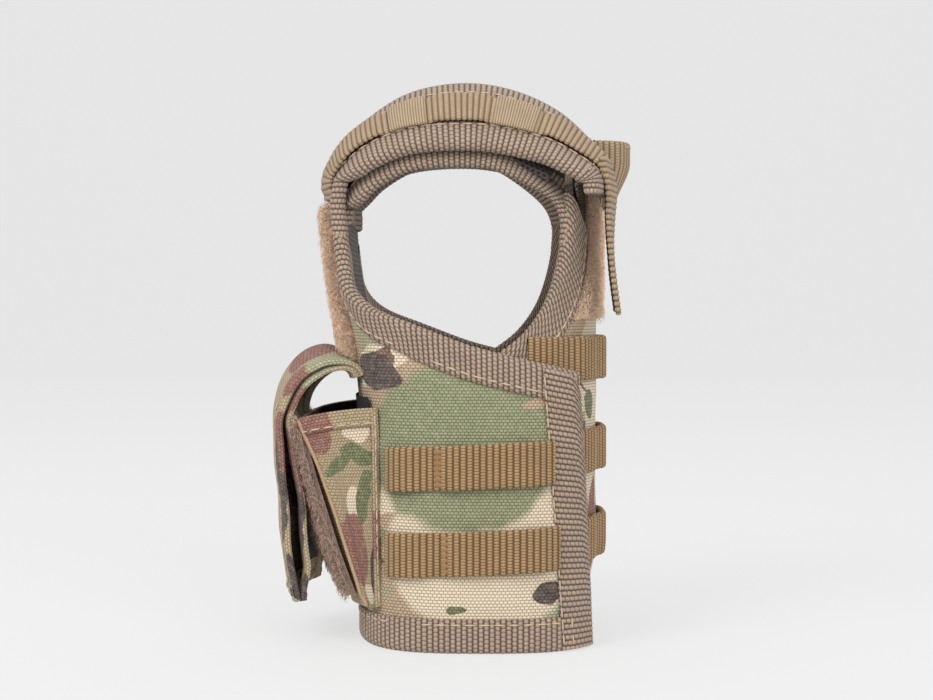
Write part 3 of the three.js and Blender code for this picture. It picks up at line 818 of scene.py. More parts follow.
def make_back():
    camo = panel("back_camo", (-BACK_REACH, BACK_REACH), back_top, -0.5, 0.45, "camo", 21, "vest",
                 ["back_shell", "back_core"], BACK_CENTRE)
    panel("back_mesh", (-BACK_REACH, BACK_REACH), back_top, -4.1, -0.2, "mesh", 22, "vest", ["back_lining"],
          BACK_CENTRE)
    hem = level_mapping(BACK_CENTRE, 1, -BACK_REACH, BACK_REACH, 0, 1)
    tape("back_hem", hem, edge_profile(HEM_HEIGHT, BACK_LOW, BACK_HIGH), "binding", 0.16, "vest",
         ["back_hem_binding"], wobble=0.05)
    neck = level_mapping(BACK_CENTRE, 1, -15.5, 15.5, BACK_TOP, -1)
    tape("back_neck_edge", neck, edge_profile(7.5, BACK_LOW, BACK_HIGH + 0.2), "binding", 0.16, "vest",
         ["back_neck_binding"])
    curves = [seam_thread(hem, (0, 1), 8.6, BACK_HIGH + THREAD_LIFT),
              seam_thread(neck, (0, 1), 6.2, BACK_HIGH + 2 * THREAD_LIFT)]
    for sign in (LEFT, RIGHT):
        rim = part_of(edge_mapping(BACK_CENTRE, -sign, BACK_RIM, BACK_SEAM), 0.16, 1)
        name = f"{SIDE_NAMES[sign]}_back_armhole"
        tape(f"{name}_edge", rim, edge_profile(BINDING_WIDTH, BACK_LOW, BACK_HIGH + 0.3), "binding", 0.17,
             "vest", [f"{name}_binding"], wobble=0.06)
        curves.append(seam_thread(rim, (0.02, 0.98), 8.4, BACK_HIGH + 0.5))
    thread_object("back_thread", curves, CLOTHS["thread"], "vest")
    for label, foot, end in (("upper", 79, 41.5), ("middle", 51.5, 27), ("lower", 25, 27)):
        row = level_mapping(BACK_CENTRE, 1, -end, end, foot + WEBBING_WIDTH / 2, 1)
        tape(f"back_row_{label}", row, flat_profile(WEBBING_WIDTH, 1.5, 12) + (0, 1.2), "row", 0.28, "vest",
             [f"back_webbing_{label}"], lift=back_row_lift)


# ---------- shoulder straps ----------
SHOULDER = [(17, -42.3, 135), (17.4, -41.6, 140), (21, -34.8, 148), (24.5, -20, 155), (25, 0, 156.4),
            (25, 17.5, 152), (24.5, 28.2, 145.4), (24, 34, 139.6), (24, 34.8, 133.5)]
_shoulder_t, _shoulder_lengths = even(lambda t: catmull(SHOULDER, t), 1, 400)
STRAP_LENGTH = _shoulder_lengths[-1]


def shoulder(along):
    """Middle line of the strap; before its start and after its end it goes on straight."""
    held = np.clip(along, 0, 1)
    point = catmull(SHOULDER, np.interp(held, np.linspace(0, 1, len(_shoulder_t)), _shoulder_t))
    first, last = np.array((0.03, 0.05, 1.0)), np.array((0, 0.05, -1.0))
    beyond = (np.asarray(along) - held)[..., None] * STRAP_LENGTH
    return point + np.where(beyond < 0, first, last) * beyond


def strap(sign):
    """Maps a strap: across runs from the neck edge (negative) to the arm edge, above is up from
    the strap's middle."""
    def mapping(along, across, above):
        along, across, above = np.broadcast_arrays(along, across, above)
        centre = shoulder(along)
        tangent = shoulder(along + 0.004) - shoulder(along - 0.004)
        tangent /= np.linalg.norm(tangent, axis=-1, keepdims=True)
        held = np.clip(along, 0, 1)
        over = np.sin(np.pi * held)
        yaw = 0.2 * np.cos(np.pi * held) - 0.1 + 0.25 * (1 - smooth(held, 0, 0.35))
        to_arm = np.stack([np.ones_like(held), yaw, -STRAP_TILT * over], -1)
        to_arm -= (to_arm * tangent).sum(-1, keepdims=True) * tangent
        to_arm /= np.linalg.norm(to_arm, axis=-1, keepdims=True)
        normal = np.cross(to_arm, tangent)
        bend = STRAP_BEND * over ** 0.6 + 1e-5
        turn = bend * across
        sideways = np.sin(turn) * (1 / bend + above)
        upward = np.cos(turn) * (1 / bend + above) - 1 / bend + STRAP_RISE * over
        point = centre + to_arm * sideways[..., None] + normal * upward[..., None]
        return point * (sign, 1, 1)
    return mapping


def strap_half(along):
    return mix(STRAP_END_HALF_WIDTH, STRAP_HALF_WIDTH, np.sin(np.pi * np.clip(along, 0, 1)))


def arm_half(along):
    """The strap's width from its middle line to its arm edge, which curls in a little over the shoulder."""
    return strap_half(along) - 2.5 * np.sin(np.pi * np.clip(along, 0, 1))


ARM_BAND_START = -20        # the arm binding starts this far below the strap's foot, on the chest
STRAP_BAND_WIDTH = 8.4
STRAP_WEBBING_WIDTH = 9.8
WEBBING_START, WEBBING_END = -0.03, 0.95    # shares of the strap's length
KEEPER_ENDS = (0.31, 0.42, 0.62, 0.75)      # front and rear keepers, as shares of the webbing's length
WEBBING_RISE = 1.1          # the webbing bows up this far between the places where it is sewn down


def arm_band(sign):
    """Maps the arm edge's binding, t in millimetres from the strap's foot: it leaves the armhole and goes up
    the strap, and across is 0 at its rim."""
    on_strap = strap(sign)

    def mapping(t, across, above):
        t, across, above = np.broadcast_arrays(t, across, above)
        along = t / STRAP_LENGTH
        upper = on_strap(along, arm_half(along) - across, above)
        height = FRONT_TOP + 2 + t
        rim = np.interp(-height, [-FRONT_TOP, -117, -107.5], [27.2, 27.3, 28.6])
        tuck = 1 - smooth(t, -16, -12)          # its foot hides inside the armhole's binding
        lower = body(sign * (rim - across - 0.3 * tuck), height, above * (1 - 0.14 * tuck) + FRONT_MID)
        return mix(lower, upper, smooth(t, -6, 14)[..., None])
    return mapping


def webbing_lift(lengths, whole):
    """How far the strap's webbing stands off; it lies flat at its ends and inside the keepers."""
    place = lengths / whole
    rise = np.full_like(lengths, WEBBING_RISE)
    for held in KEEPER_ENDS + (0.0, 1.0):
        rise = np.minimum(rise, WEBBING_RISE * smooth(np.abs(place - held), 0.002, 0.04))
    for first, last in (KEEPER_ENDS[:2], KEEPER_ENDS[2:]):
        rise = np.where((place > first) & (place < last), 0, rise)
    return rise


def make_strap(sign):
    side = SIDE_NAMES[sign]
    bend = strap_bend(sign)
    on_strap = strap(sign)

    def ranged(first, last, place=lambda along, across: across):
        """Maps t from 0 to 1 onto part of the strap, with across from place(along, across)."""
        def mapping(t, across, above):
            along = mix(first, last, t)
            return on_strap(along, place(along, across), above)
        return mapping
    arm = part_of(arm_band(sign), ARM_BAND_START, STRAP_LENGTH)
    neck = ranged(-0.03, 1.0, lambda along, across: across - strap_half(along))
    for label, mapping in (("arm", arm), ("neck", neck)):
        tape(f"{side}_strap_{label}_edge", mapping, edge_profile(STRAP_BAND_WIDTH, -2.15, 2.15), "binding",
             0.17, bend, [f"{side}_strap_{label}_binding"], ends=(0.5, 1.2), wobble=0.07)

    def between_bands(along, across):
        return across * (strap_half(along) - STRAP_BAND_WIDTH + 1.5) / 9
    pad = ranged(-0.02, 0.995, between_bands)
    core = tape(f"{side}_strap_cloth", pad, flat_profile(16.4, 3.3, 8) + (-0.9, 0), "dark_cloth", 0.0, bend,
                [f"{side}_strap_pad"], per_rib=2, ends=(0.5, 1.0))
    tape(f"{side}_strap_ribbon", ranged(WEBBING_START, WEBBING_END),
         flat_profile(STRAP_WEBBING_WIDTH, 1.1, 12) + (0, 2.75), "strap", 0.24, bend,
         [f"{side}_strap_webbing"], lift=webbing_lift, ends=(0.8, 0.5))
    for label, ends in (("front", KEEPER_ENDS[:2]), ("rear", KEEPER_ENDS[2:])):
        first, last = (mix(WEBBING_START, WEBBING_END, end) for end in ends)
        tape(f"{side}_keeper_{label}", ranged(first, last),
             flat_profile(STRAP_WEBBING_WIDTH + 1.2, 1.2, 12) + (0, 3.5), "keeper", 0.04, f"{side}_strap",
             [f"{side}_strap_keeper_{label}"], ends=(0.9, 0.9))
    tape(f"{side}_strap_end_cap", ranged(0.89, 1.005), flat_profile(2 * STRAP_END_HALF_WIDTH + 1, 4.9, 14),
         "binding", 0.15, f"{side}_strap", ends=(0.4, 1.4))

    def cap_seam(t):
        return on_strap(np.full_like(t, 0.905), mix(-11, 11, t), np.full_like(t, 2.75))
    curves = [seam_thread(arm, (0.1, 0.98), STRAP_BAND_WIDTH - 1.2, 2.45),
              seam_thread(neck, (0.03, 0.98), STRAP_BAND_WIDTH - 1.2, 2.45), cap_seam]
    thread = thread_object(f"{side}_strap_thread", curves, CLOTHS["thread"], None)
    wear(thread, "binding_tape", bend)
    make_inner_strap(sign)
    make_tab(sign)


INNER_TIP, INNER_ROOT = -0.04, 0.78         # shares of the outer strap's length
INNER_SAG = {LEFT: 1.4, RIGHT: 0.0}         # how far each one hangs away from its outer strap
INNER_SLIM = {LEFT: 0.6, RIGHT: 5.0}        # how much narrower each is than its outer strap
INNER_DEPTH = 4.5           # the inner strap's middle lies this far under the outer one's
RING_JOIN = 137             # height at which the back armhole's binding passes into the inner strap


def inner_strap(sign):
    """Maps the inner strap: it sags below the outer one, and its root turns down into the back panel."""
    on_strap = strap(sign)

    def mapping(along, across, above):
        along, across, above = np.broadcast_arrays(along, across, above)
        over = np.sin(np.pi * np.clip(along, 0, 1))
        turn_down = smooth(along, 0.58, INNER_ROOT)
        tip_down = 1 - smooth(along, INNER_TIP, 0.3)
        sag = INNER_SAG[sign] * over + 2 * turn_down + 6 * tip_down
        drop = np.stack([0 * over, -3 * tip_down - 2 * turn_down, -sag], -1)
        return on_strap(along, across, above - INNER_DEPTH) + drop
    return mapping


def soft_floor(length, turn=3.0):
    """The length where it is above zero, easing to zero below that, in millimetres."""
    return turn * np.log1p(np.exp(np.clip(length / turn, -40, 40)))


def inner_half(sign, along):
    """Half the inner strap's width, which narrows to its blunt tip."""
    return (strap_half(along) - INNER_SLIM[sign]) * mix(0.4, 1, smooth(along, INNER_TIP, INNER_TIP + 0.16))


def make_inner_strap(sign):
    """The back panel's own strap, a bound strip that runs forward under the outer one to a blunt point."""
    side = SIDE_NAMES[sign]
    on_inner = inner_strap(sign)
    reach = (INNER_ROOT - INNER_TIP) * STRAP_LENGTH

    def ring(t, across, above):
        """The arm edge's binding climbs the back armhole's rim and turns forward along the inner strap."""
        t, across, above = np.broadcast_arrays(t, across, above)
        run = mix(-18, reach, t)
        along = INNER_ROOT - (9 + soft_floor(run - 9)) / STRAP_LENGTH
        upper = on_inner(along, inner_half(sign, along) - across, above)
        height = RING_JOIN - 6 - soft_floor(-run - 6)
        rim = np.interp(-height, [-142, -132, -118], [25.2, 26.8, 28.6])
        lower = body(BACK_CENTRE - sign * (rim - across), height, above + BACK_MID)
        return mix(lower, upper, smooth(run, -13, 18)[..., None])

    def neck(t, across, above):
        along = mix(INNER_ROOT + 0.05, INNER_TIP, t)
        return on_inner(along, across - inner_half(sign, along), above)

    def middle(t, across, above):
        along = mix(INNER_ROOT + 0.05, INNER_TIP, t)
        return on_inner(along, across * (inner_half(sign, along) - 5) / 9, above)
    bend = ("vest", f"{side}_inner", (sign * 30, 25.5, 136), (sign * 33, 17, 143))
    tape(f"{side}_inner_strap_arm_edge", ring, edge_profile(9, -1.7, 1.7), "binding", 0.16, bend,
         [f"{side}_inner_strap"], ends=(0.5, 1.2), wobble=0.05)
    tape(f"{side}_inner_strap_neck_edge", neck, edge_profile(8, -1.5, 1.5), "binding", 0.16, bend,
         ends=(0.5, 1.2), wobble=0.05)
    tape(f"{side}_inner_strap_cloth", middle, flat_profile(18, 2.2, 8), "mesh", 0.0, bend, per_rib=2,
         ends=(0.5, 1.0))
    curves = [seam_thread(ring, (0.45, 0.97), 7.8, above) for above in (-1.9, 1.9)]
    thread_object(f"{side}_inner_thread", curves, CLOTHS["thread"], f"{side}_inner")


TAB_X = 24                  # sideways place of the tab's middle
TAB_PATH = [(36.4, 144.5), (38.1, 135), (38.0, 127), (38.1, 119), (38.8, 110), (40.4, 98)]
TAB_PRESS = {LEFT: 0.0, RIGHT: 1.8}         # how much closer to the back each tab lies


def make_tab(sign):
    """The strap webbing's loose end, hanging down the back, with hook tape on its inner face."""
    side = SIDE_NAMES[sign]

    def hanging(t, across, above):
        place, ahead = along_path(TAB_PATH, t)
        skew = mix(0.26, 0.08, smooth(t, 0.1, 0.8))
        y = place[..., 0] - TAB_PRESS[sign] * smooth(t, 0.05, 0.4) - ahead[..., 1] * above - skew * across
        z = place[..., 1] + ahead[..., 0] * above
        return np.stack(np.broadcast_arrays(sign * (TAB_X + across), y, z), -1)
    bend = (f"{side}_strap", f"{side}_tab", (sign * TAB_X, 37.4, 143), (sign * TAB_X, 38, 138))
    tape(f"{side}_tab_ribbon", hanging, flat_profile(WEBBING_WIDTH, 1.4, 12) + (0, 0.2), "strap", 0.24,
         bend, [f"{side}_strap_tab"], ends=(0.8, 1.0))
    tape(f"{side}_tab_hooks", part_of(hanging, 0.2, 0.97),
         flat_profile(WEBBING_WIDTH - 2.4, 0.6, 8) + (0, -0.75), "hook", 0.1, f"{side}_tab", ends=(0.5, 0.5))


# ---------- fuzzy loop patches ----------
FIBRE_HALF_WIDTH = 0.085
FIBRE_TAPER = (1, 1, 0.9, 0.75, 0.4)        # its width at each point from root to tip


def fuzz_object(name, surface, count, reach, material, seed):
    """Short curled fibres over surface(u, v) -> points and outward directions, with u and v from 0 to 1."""
    rng = np.random.default_rng(seed)
    root, out = surface(rng.uniform(0.0, 1.0, count), rng.uniform(0.0, 1.0, count))
    sideways = np.cross(out, rng.normal(size=(count, 3)))
    sideways /= np.linalg.norm(sideways, axis=1, keepdims=True)
    other = np.cross(out, sideways)
    tall = reach * rng.uniform(0.45, 1.15, count)
    bow = reach * rng.uniform(0.5, 1.5, count)
    turn = rng.uniform(0.4, 2.4, count)
    steps = np.linspace(0, 1, len(FIBRE_TAPER))
    angle = turn[:, None] * steps[None] * 2
    centre = (root[:, None]
              + out[:, None] * (tall[:, None] * np.sin(np.pi * 0.62 * steps[None]))[..., None]
              + sideways[:, None] * (bow[:, None] * np.sin(angle) * 0.6)[..., None]
              + other[:, None] * (bow[:, None] * (1 - np.cos(angle)) * 0.4)[..., None])
    along = np.gradient(centre, axis=1)
    along /= np.linalg.norm(along, axis=2, keepdims=True)
    wide = np.cross(along, sideways[:, None] + 0.3 * other[:, None])
    wide /= np.linalg.norm(wide, axis=2, keepdims=True) + 1e-9
    half = FIBRE_HALF_WIDTH * np.array(FIBRE_TAPER)[None, :, None]
    points = np.stack([centre - wide * half, centre + wide * half], 2).reshape(count, -1, 3)
    corners = 2 * len(FIBRE_TAPER)
    pattern = np.array([[k, k + 1, k + 3, k + 2] for k in range(0, corners - 2, 2)])
    faces = (pattern[None] + corners * np.arange(count)[:, None, None]).reshape(-1, 4)
    uv = np.repeat(rng.uniform(0, 40, (count, 1, 2)), corners, 1)
    pile = raw_mesh(name, points.reshape(-1, 3), faces, uv.reshape(-1, 2), material)
    wear(pile, "loop_fuzz", "vest")


PATCH_FIBRES = 6200
POUCH_FIBRES = 11000


def patch_on_body(name, centre, bounds, offset, thick, reach, replaced, seed):
    """A loop patch sewn on the body: a pile bed and its fibres. bounds(v) gives its two edges round the body
    and its height there, at height share v."""
    v = np.linspace(0, 1, 70)[None]
    u = np.linspace(0, 1, 60)[:, None]

    def place(u, v, above):
        low, high, z = bounds(v)
        return body(centre + mix(low, high, u), z, offset + above)

    def inside(u, v):
        """0 at the patch's rim, 1 where it has its full thickness."""
        from_rim = np.minimum(np.minimum(u, 1 - u) * 30, np.minimum(v, 1 - v) * 40)
        return np.clip(from_rim / thick, 0, 1)

    def height(u, v):
        return thick * np.sqrt(inside(u, v) * (2 - inside(u, v)))
    lumps = 0.25 * ripples(u * 30, v * 45, seed, 9, 2.2)
    low, high, z = bounds(v)
    uv = np.stack(np.broadcast_arrays(centre + mix(low, high, u), z), -1)
    bed = grid_mesh(name, place(u, v, height(u, v) + lumps * inside(u, v)), uv, CLOTHS["fuzz"])
    wear(face_from_axis(bed), "loop_fuzz", "vest", replaced)

    def surface(u, v):
        u = (1 - np.cos(np.pi * u)) / 2
        root = place(u, v, height(u, v) - 0.2)
        out = place(u, v, height(u, v) + 0.8) - root
        sideways = place(u + 0.01, v, height(u, v)) - place(u - 0.01, v, height(u, v))
        sideways /= np.linalg.norm(sideways, axis=-1, keepdims=True)
        return root, out + sideways * (np.sign(u - 0.5) * (1 - inside(u, v)))[..., None]
    fuzz_object(f"{name}_pile", surface, PATCH_FIBRES, reach, CLOTHS["fibre"], seed)


def make_loop_patches():
    def chest(v):
        half = np.full_like(v, 16.5)
        return -half, half, 84 + 47 * v
    patch_on_body("chest_loop", 0, chest, 4.4, 3.6, 1.9, ["chest_loop_patch"], 31)

    seam = catmull(BACK_SEAM, np.linspace(0, 1, 200))
    order = np.argsort(seam[:, 1])

    def back(v):
        z = 97 + 41 * v
        half = np.interp(z, seam[order, 1], seam[order, 0]) - 0.6
        return -half, half, z
    patch_on_body("back_loop", BACK_CENTRE, back, 0.0, 1.5, 1.4, ["back_loop_patch"], 32)


# ---------- pouch and its flap ----------
POUCH_HALF = 28
POUCH_FOOT, POUCH_TOP = 12, 71
POUCH_WALL = 2.8            # how far its front stands off the vest at its foot
POUCH_SEAMS = ((RIGHT, 0.012, 0.27), (LEFT, 0.988, 0.73))   # rear seam and front corner, along its wall
POUCH_PATCH_HALF = 25.5
POUCH_PATCH_THICK = 1.8
POUCH_CUT_WIDTH = 100       # the pouch wall's cloth, before it is folded round the two corners
POUCH_TOP_Y = -54           # how far forward the pouch's mouth stands
FLAP_HALF = 23
FLAP_CROWN = 4.0            # its middle stands this far beyond its side edges
FLAP_DROOP = 6.5            # its side edges hang this far below its middle where it folds over
FLAP_PATH = [(-38.9, 80), (-39.6, 81.6), (-41.2, 83.5), (-44.2, 85.4), (-48.6, 86.4), (-53.6, 84.4),
             (-57.2, 78.6), (-58.6, 70), (-58.2, 52), (-56.4, 32), (-53.6, 13)]
FLAP_BEND = ("vest", "flap", (0, -43, 87.3), (0, -55, 84.5))
POUCH_CROWN = 4.5           # the pouch's front bulges this far between its mouth and its foot
POUCH_DIP = 3.5             # its mouth dips this much at the front


def front_surface_y(x, z, offset):
    """How far forward the front's cloth stands, plus an offset from it."""
    half = BODY_HALF + 4.3 + offset
    across = np.minimum(np.abs(x) / half, 1)
    return -half * (1 - across ** OUTLINE_POWER) ** (1 / OUTLINE_POWER) - lean_at(z)


def pouch_front_y(x, z):
    """The pouch's front face: shut against the vest at its foot, deep at its mouth."""
    rise = np.clip((z - POUCH_FOOT) / (POUCH_TOP - POUCH_FOOT), 0, 1.05)
    bulge = (1 - (x / POUCH_HALF) ** 2) * smooth(z, POUCH_FOOT + 2, 32) * (1 - smooth(z, 48, POUCH_TOP))
    return mix(front_surface_y(x, z, POUCH_WALL), POUCH_TOP_Y, rise) - POUCH_CROWN * bulge


def pouch_plan(t, z, inset):
    """Points round the pouch at height z, from the right rear corner (t = 0) by the front to the left one."""
    half = POUCH_HALF - inset
    rear = front_surface_y(half, z, 0)
    corner = pouch_front_y(half, z) + inset
    depth = rear - corner
    turn = 0.35 + np.minimum(3, depth * 0.3)
    side = [(half, rear), (half + 0.5, mix(rear, corner, 0.3)), (half + 0.6, mix(rear, corner, 0.62)),
            (half, corner + turn), (half - 0.3 * turn, corner + 0.25 * turn), (half - turn, corner)]
    front = [(share * half, pouch_front_y(share * half, z) + inset) for share in (0.6, 0.3, 0)]
    outline = side + front
    outline = [(-x, y) for x, y in outline] + outline[-2::-1]
    place = catmull(outline, t)
    height = z - POUCH_DIP * smooth(t, 0, 0.3) * smooth(1 - t, 0, 0.3) * smooth(z, 50, POUCH_TOP)
    return np.concatenate([place, height[..., None]], -1)


def pouch_wall(name, inset, material, foot, top, puff=0.0, seed=0):
    """The pouch's front and side walls as one cloth. Its texture is laid out from the left rear corner."""
    heights = np.linspace(foot, top, 56)
    t = np.linspace(0, 1, 200)
    rows = []
    for z in heights:
        row = pouch_plan(t, z, inset)
        row[..., 1] -= puff * ripples(t * 110, np.full_like(t, z), seed) * smooth(z, foot, foot + 8)
        row[..., 0] += puff * np.sign(row[..., 0]) * ripples(row[..., 1], np.full_like(t, z), seed + 1)
        rows.append(row)
    points = np.stack(rows)
    lengths = np.concatenate([[0], np.cumsum(np.linalg.norm(np.diff(points[-1], axis=0), axis=1))])
    uv = np.stack(np.broadcast_arrays((lengths[-1] - lengths)[None], heights[:, None]), -1)
    return grid_mesh(name, points, uv, material)


def pouch_rim(t, across, above):
    """Maps the pouch's mouth: across goes down from the mouth's edge."""
    z = POUCH_TOP - np.asarray(across, float)
    t, z, above = np.broadcast_arrays(t, z, above)
    points = np.empty(t.shape + (3,))
    for k in np.unique(z):
        here = z == k
        inner = pouch_plan(t[here], k, 0)
        ahead = pouch_plan(np.minimum(t[here] + 0.002, 1), k, 0)
        ahead -= pouch_plan(np.maximum(t[here] - 0.002, 0), k, 0)
        out = np.stack([ahead[:, 1], -ahead[:, 0], 0 * ahead[:, 0]], -1)
        out /= np.linalg.norm(out, axis=1, keepdims=True)
        points[here] = inner + out * above[here][:, None]
    return points


def pouch_upright(place):
    """Maps an upright line on the pouch's wall at plan position place; across runs round the wall."""
    def mapping(t, across, above):
        t, across, above = np.broadcast_arrays(t, across, above)
        points = np.empty(t.shape + (3,))
        for k in np.unique(t):
            here = t == k
            z = mix(POUCH_FOOT + 0.5, POUCH_TOP - 0.5, k)
            span = np.array([place - 0.01, place, place + 0.01])
            around = pouch_plan(span, float(z), 0)
            ahead = around[2] - around[0]
            ahead /= np.linalg.norm(ahead)
            out = np.array([ahead[1], -ahead[0], 0])
            points[here] = around[1] + ahead * across[here][:, None] + out * above[here][:, None]
        return points
    return mapping


def make_pouch_patch():
    """The brown loop patch that covers the pouch's front."""
    low, high = POUCH_FOOT + 3, POUCH_TOP - 4
    u = np.linspace(-POUCH_PATCH_HALF, POUCH_PATCH_HALF, 84)[None]
    v = np.linspace(low, high, 90)[:, None]
    u, v = np.broadcast_arrays(u, v)
    rim = np.clip(np.minimum(POUCH_PATCH_HALF - np.abs(u), np.minimum(v - low, high - v)), 0, 1)
    thick = POUCH_PATCH_THICK * np.sqrt(rim * (2 - rim))
    lumps = 0.3 * ripples(u, v, 44, 9, 2.2) * rim
    bed = np.stack([u, pouch_front_y(u, v) - 0.2 - thick - lumps, v], -1)
    patch = grid_mesh("pouch_loop", bed, np.stack([u, v], -1), CLOTHS["brown_fuzz"])
    wear(face_from_axis(patch), "loop_fuzz", "vest", ["pouch_loop_patch"])

    def surface(u, v):
        x = POUCH_PATCH_HALF * np.sin(np.pi * (u - 0.5))
        z = mix(low + 0.2, high - 0.2, v)
        root = np.stack([x, pouch_front_y(x, z) - 1.7, z], -1)
        out = np.stack([(x / POUCH_PATCH_HALF) ** 5, np.full_like(x, -1.0), 0 * x], -1)
        return root, out
    fuzz_object("pouch_loop_pile", surface, POUCH_FIBRES, 1.8, CLOTHS["brown_fibre"], 45)


def make_pouch():
    shell = pouch_wall("pouch_camo", 0, CLOTHS["pouch"], POUCH_FOOT, POUCH_TOP - 1, 0.25, 41)
    wear(face_from_axis(shell), "camo_fabric", "vest", ["pouch_body"])
    inner = pouch_wall("pouch_lining", 0.8, CLOTHS["lining"], POUCH_FOOT + 0.5, POUCH_TOP - 0.3)
    wear(face_from_axis(inner, False), "black_hook", "vest")
    hem_profile = edge_profile(5.5, -0.55, 0.5)[:-7]        # its inner face is left short
    hem = loft("pouch_mouth_hem", pouch_rim, hem_profile, CLOTHS["pouch_hem"], PRINT_PITCH, 0.03, per_rib=2,
               wobble=0.05)
    wear(face_from_axis(hem), "camo_fabric", "vest")
    z = np.linspace(POUCH_FOOT, POUCH_TOP + 3, 40)[:, None]
    x = np.linspace(-POUCH_HALF + 1.5, POUCH_HALF - 1.5, 40)[None]
    x, z = np.broadcast_arrays(x, z)
    back = grid_mesh("pouch_back_cloth", np.stack([x, front_surface_y(x, z, 0.9), z], -1),
                     np.stack([x, z], -1), CLOTHS["lining"])
    wear(face_from_axis(back), "black_hook", "vest", ["pouch_back"])
    curves = [seam_thread(pouch_rim, (0.01, 0.99), 4.4, 0.75)]
    for sign, rear, corner in POUCH_SEAMS:
        side = SIDE_NAMES[sign]
        tape(f"{side}_pouch_flange", pouch_upright(rear), flat_profile(2.2, 1.3, 4) + (0, 0.4), "pouch_hem",
             0.05, "vest", per_rib=3, wobble=0.12)
        tape(f"{side}_pouch_piping", pouch_upright(corner), flat_profile(1.4, 1.1, 2) + (0, 0.3), "piping",
             0.08, "vest", per_rib=3, wobble=0.08)
        curves.append(seam_thread(pouch_upright(rear), (0.02, 0.98), 0, 1.15))
    thread_object("pouch_thread", curves, CLOTHS["thread"], "vest")
    make_pouch_patch()


_flap_t, _flap_lengths = even(lambda t: catmull(FLAP_PATH, t), 1, 400)
FLAP_LENGTH = _flap_lengths[-1]


def flap(t, across, above):
    """Maps the flap: t from its seam on the chest over the fold to its tip, above is outward."""
    t, across, above = np.broadcast_arrays(t, across, above)

    def path(share):
        return catmull(FLAP_PATH, np.interp(share, np.linspace(0, 1, len(_flap_t)), _flap_t))
    place = path(t)
    ahead = path(np.minimum(t + 0.01, 1)) - path(np.maximum(t - 0.01, 0))
    ahead /= np.linalg.norm(ahead, axis=-1, keepdims=True)
    edge = (across / FLAP_HALF) ** 2
    push = FLAP_CROWN * (1 - edge) * mix(0.3, 1, smooth(t, 0.16, 0.42)) * smooth(t, 0, 0.15)
    droop = FLAP_DROOP * edge * smooth(t, 0.0, 0.24) * (1 - smooth(t, 0.26, 0.5))
    out = above + push + 0.5 * ripples(across, t * FLAP_LENGTH, 61, 50, 18) * smooth(t, 0.1, 0.3)
    follow = (front_surface_y(across, 80, 0) - front_surface_y(0, 80, 0)) * (1 - smooth(t, 0, 0.25))
    y = place[..., 0] + ahead[..., 1] * out + follow
    return np.stack([across, y, place[..., 1] - ahead[..., 0] * out - droop], -1)


def flap_inner(t, across, above):
    """The flap's inner cloth, which stands away from the outer one towards the tip."""
    gap = mix(1.0 * smooth(t, 0.04, 0.15), 3.4, smooth(t, 0.35, 0.7)) * (1 - smooth(t, 0.88, 1))
    return flap(t, across, above - gap)


def flap_face(name, mapping, offset, puff, material, inward, seed, first=0.0, last=1.0, half=FLAP_HALF - 0.4):
    """One cloth of the flap, from t = first to last; it swells by puff away from its edges."""
    t = np.linspace(first, last, 110)[:, None]
    x = np.linspace(-half, half, 60)[None]
    from_edge = np.minimum(half - np.abs(x), np.minimum(t - first, last - t) * FLAP_LENGTH)
    height = offset + puff * smooth(from_edge, 0, 6) * (1 + 0.3 * ripples(x, t * FLAP_LENGTH, seed))
    uv = np.stack(np.broadcast_arrays(x, t * FLAP_LENGTH), -1)
    sheet = grid_mesh(name, mapping(t, x, height), uv, material)
    total = sum(p.normal.y * p.area for p in sheet.data.polygons)
    if (total > 0) != inward:
        sheet.data.flip_normals()
    return sheet


def flap_side(sign, mapping):
    """Maps a side edge of the flap; across is 0 at the edge."""
    return lambda t, across, above: mapping(t, sign * (FLAP_HALF - across), above)


def flap_tip(t, across, above):
    """Maps the flap's tip, with t from one side edge to the other; across is 0 at the tip."""
    return flap(1 - across / FLAP_LENGTH, mix(-FLAP_HALF, FLAP_HALF, t), above)


def make_flap():
    """A tongue of two cloths sewn together at its edges, with hook tape on its inner face."""
    outer = flap_face("flap_camo", flap, 1.0, 0.5, CLOTHS["flap"], False, 51)
    wear(outer, "camo_fabric", FLAP_BEND, ["pouch_flap", "pouch_flap_root"])
    inner = flap_face("flap_inner_cloth", flap_inner, -1.4, -0.2, CLOTHS["flap"], True, 52)
    wear(inner, "camo_fabric", FLAP_BEND, [])
    hooks = flap_face("flap_hooks", flap_inner, -1.9, -0.6, CLOTHS["hook"], True, 53, 0.45, 0.92,
                      FLAP_HALF - 6)
    wear(hooks, "black_hook", "flap", ["pouch_flap_hook_patch"])
    curves = []
    for sign in (LEFT, RIGHT):
        side = SIDE_NAMES[sign]
        outer_side, inner_side = flap_side(sign, flap), flap_side(sign, flap_inner)
        tape(f"{side}_flap_edge", outer_side, edge_profile(4.6, -0.35, 1.55), "flap_edge", 0.03, FLAP_BEND,
             [], per_rib=2, wobble=0.07)
        tape(f"{side}_flap_inner_edge", inner_side, edge_profile(5.2, -2.0, -0.3), "flap_edge", 0.03,
             FLAP_BEND, [], per_rib=2, wobble=0.09)
        curves += [seam_thread(outer_side, (0.3, 0.99), 3.6, 1.75),
                   seam_thread(outer_side, (0.3, 0.99), 0.3, 0.6),
                   seam_thread(inner_side, (0.35, 0.95), 0.3, -1.2)]
    tape("flap_tip_edge", flap_tip, edge_profile(5, -2.4, 1.6), "flap_edge", 0.03, "flap", per_rib=2)
    curves.append(seam_thread(flap_tip, (0.05, 0.95), 3.6, 1.8))
    thread_object("flap_thread", curves, CLOTHS["thread"], "flap")


HANDLE_PLAN = [(-9.3, 33.9), (-6.7, 40.5), (0, 43.5), (6.7, 40.5), (9.3, 33.9)]
HANDLE_LOW, HANDLE_HIGH = 131, 151


